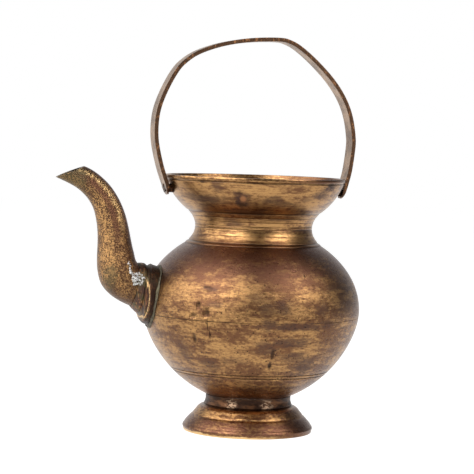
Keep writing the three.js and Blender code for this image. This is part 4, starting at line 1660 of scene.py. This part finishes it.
class SetStage(bpy.types.Operator):
    """Set the floor, the soft boxes and the camera"""

    bl_idname = "pot.set_stage"
    bl_label = "Set the stage"

    def execute(self, context):
        studio = context.scene.pot_studio
        right, up, forward = camera_axes(studio)
        middle = Vector((AXIS, 0, studio.middle))
        upright = Matrix((right, up, -forward)).transposed()
        rolled = upright @ Matrix.Rotation(studio.roll, 3, "Z")
        bpy.ops.object.camera_add(
            location=middle - forward * studio.distance, rotation=rolled.to_euler()
        )
        camera = bpy.context.object
        camera.data.lens = studio.lens
        camera.data.sensor_width = SENSOR
        camera.data.shift_x = 0.5 - PICTURE_MIDDLE[0] / PICTURE
        camera.data.shift_y = PICTURE_MIDDLE[1] / PICTURE - 0.5
        camera.data.clip_end = FAR
        context.scene.camera = camera

        bpy.ops.object.select_all(action="DESELECT")
        bpy.ops.mesh.primitive_plane_add(size=FLOOR_SIZE, location=(AXIS, 0, -FLOOR_DROP))
        floor = bpy.context.object
        floor.name = "floor"
        settle(floor)
        dress(floor, floor_white())

        for lamp in LAMPS:
            add_lamp(*lamp)
        set_world()
        context.scene.view_settings.view_transform = "Standard"
        return {"FINISHED"}


def floor_white():
    """White to the camera and in reflections, and it keeps the pot's shadow."""
    finish = Finish("floor_white")
    rays = finish.add("LightPath")
    seen = finish.math("MAXIMUM", rays.outputs["Is Camera Ray"], rays.outputs["Is Glossy Ray"])
    seen = finish.math("MAXIMUM", seen, rays.outputs["Is Transmission Ray"])
    matt = finish.add("BsdfDiffuse", (0.8, 0.8, 0.8, 1))
    shade = finish.add("BsdfDiffuse", (0.3, 0.3, 0.3, 1))
    glow = finish.add("Emission", (1, 1, 1, 1), FLOOR_GLOW)
    white = finish.add("AddShader", shade.outputs[0], glow.outputs[0])
    both = finish.add("MixShader", seen, matt.outputs[0], white.outputs[0])
    finish.add("OutputMaterial", both.outputs[0])
    return finish.material


def set_world():
    """A white backdrop behind the pot, and a dimmer room in front of it and above."""
    world = bpy.data.worlds.new("studio")
    bpy.context.scene.world = world
    world.use_nodes = True
    sky = Nodes(world.node_tree)
    way = sky.add("TexCoord").outputs["Generated"]
    split = sky.add("SeparateXYZ", way)
    behind = sky.add("MapRange", split.outputs[1], 0.45, 0.95, 0.13, 1.0).outputs[0]
    above = sky.add("MapRange", split.outputs[2], 0.35, 0.9, 1.0, 0.45).outputs[0]
    rays = sky.add("LightPath")
    seen = sky.math("MAXIMUM", rays.outputs["Is Camera Ray"], rays.outputs["Is Transmission Ray"])
    level = sky.math("MAXIMUM", sky.math("MULTIPLY", behind, above), seen)
    background = sky.add("Background", (1, 1, 1, 1), level)
    sky.add("OutputWorld", background.outputs[0])


OPERATORS = (
    SetStage,
    TurnBowls,
    TurnMouth,
    TurnFoot,
    CastSpout,
    RunSolder,
    BendStrap,
    SetRivets,
)


class PotPanel(bpy.types.Panel):
    """The steps that make the pot, and its sizes"""

    bl_idname = "VIEW3D_PT_water_pot"
    bl_label = "Water pot"
    bl_space_type = "VIEW_3D"
    bl_region_type = "UI"
    bl_category = "Water pot"

    def draw(self, context):
        for step in OPERATORS:
            self.layout.operator(step.bl_idname)
        for group, kind in SIZES.items():
            column = self.layout.column(align=True)
            for size in kind.__annotations__:
                column.prop(getattr(context.scene, group), size)


def register():
    for kind in (*SIZES.values(), *OPERATORS, PotPanel):
        bpy.utils.register_class(kind)
    for group, kind in SIZES.items():
        setattr(bpy.types.Scene, group, PointerProperty(type=kind))


def unregister():
    for group in SIZES:
        delattr(bpy.types.Scene, group)
    for kind in reversed((*SIZES.values(), *OPERATORS, PotPanel)):
        bpy.utils.unregister_class(kind)


def main():
    register()
    bpy.ops.pot.set_stage()
    bpy.ops.pot.turn_bowls()
    bpy.ops.pot.turn_mouth()
    bpy.ops.pot.turn_foot()
    bpy.ops.pot.cast_spout()
    bpy.ops.pot.run_solder()
    bpy.ops.pot.bend_strap()
    bpy.ops.pot.set_rivets()


if __name__ == "__main__":
    main()
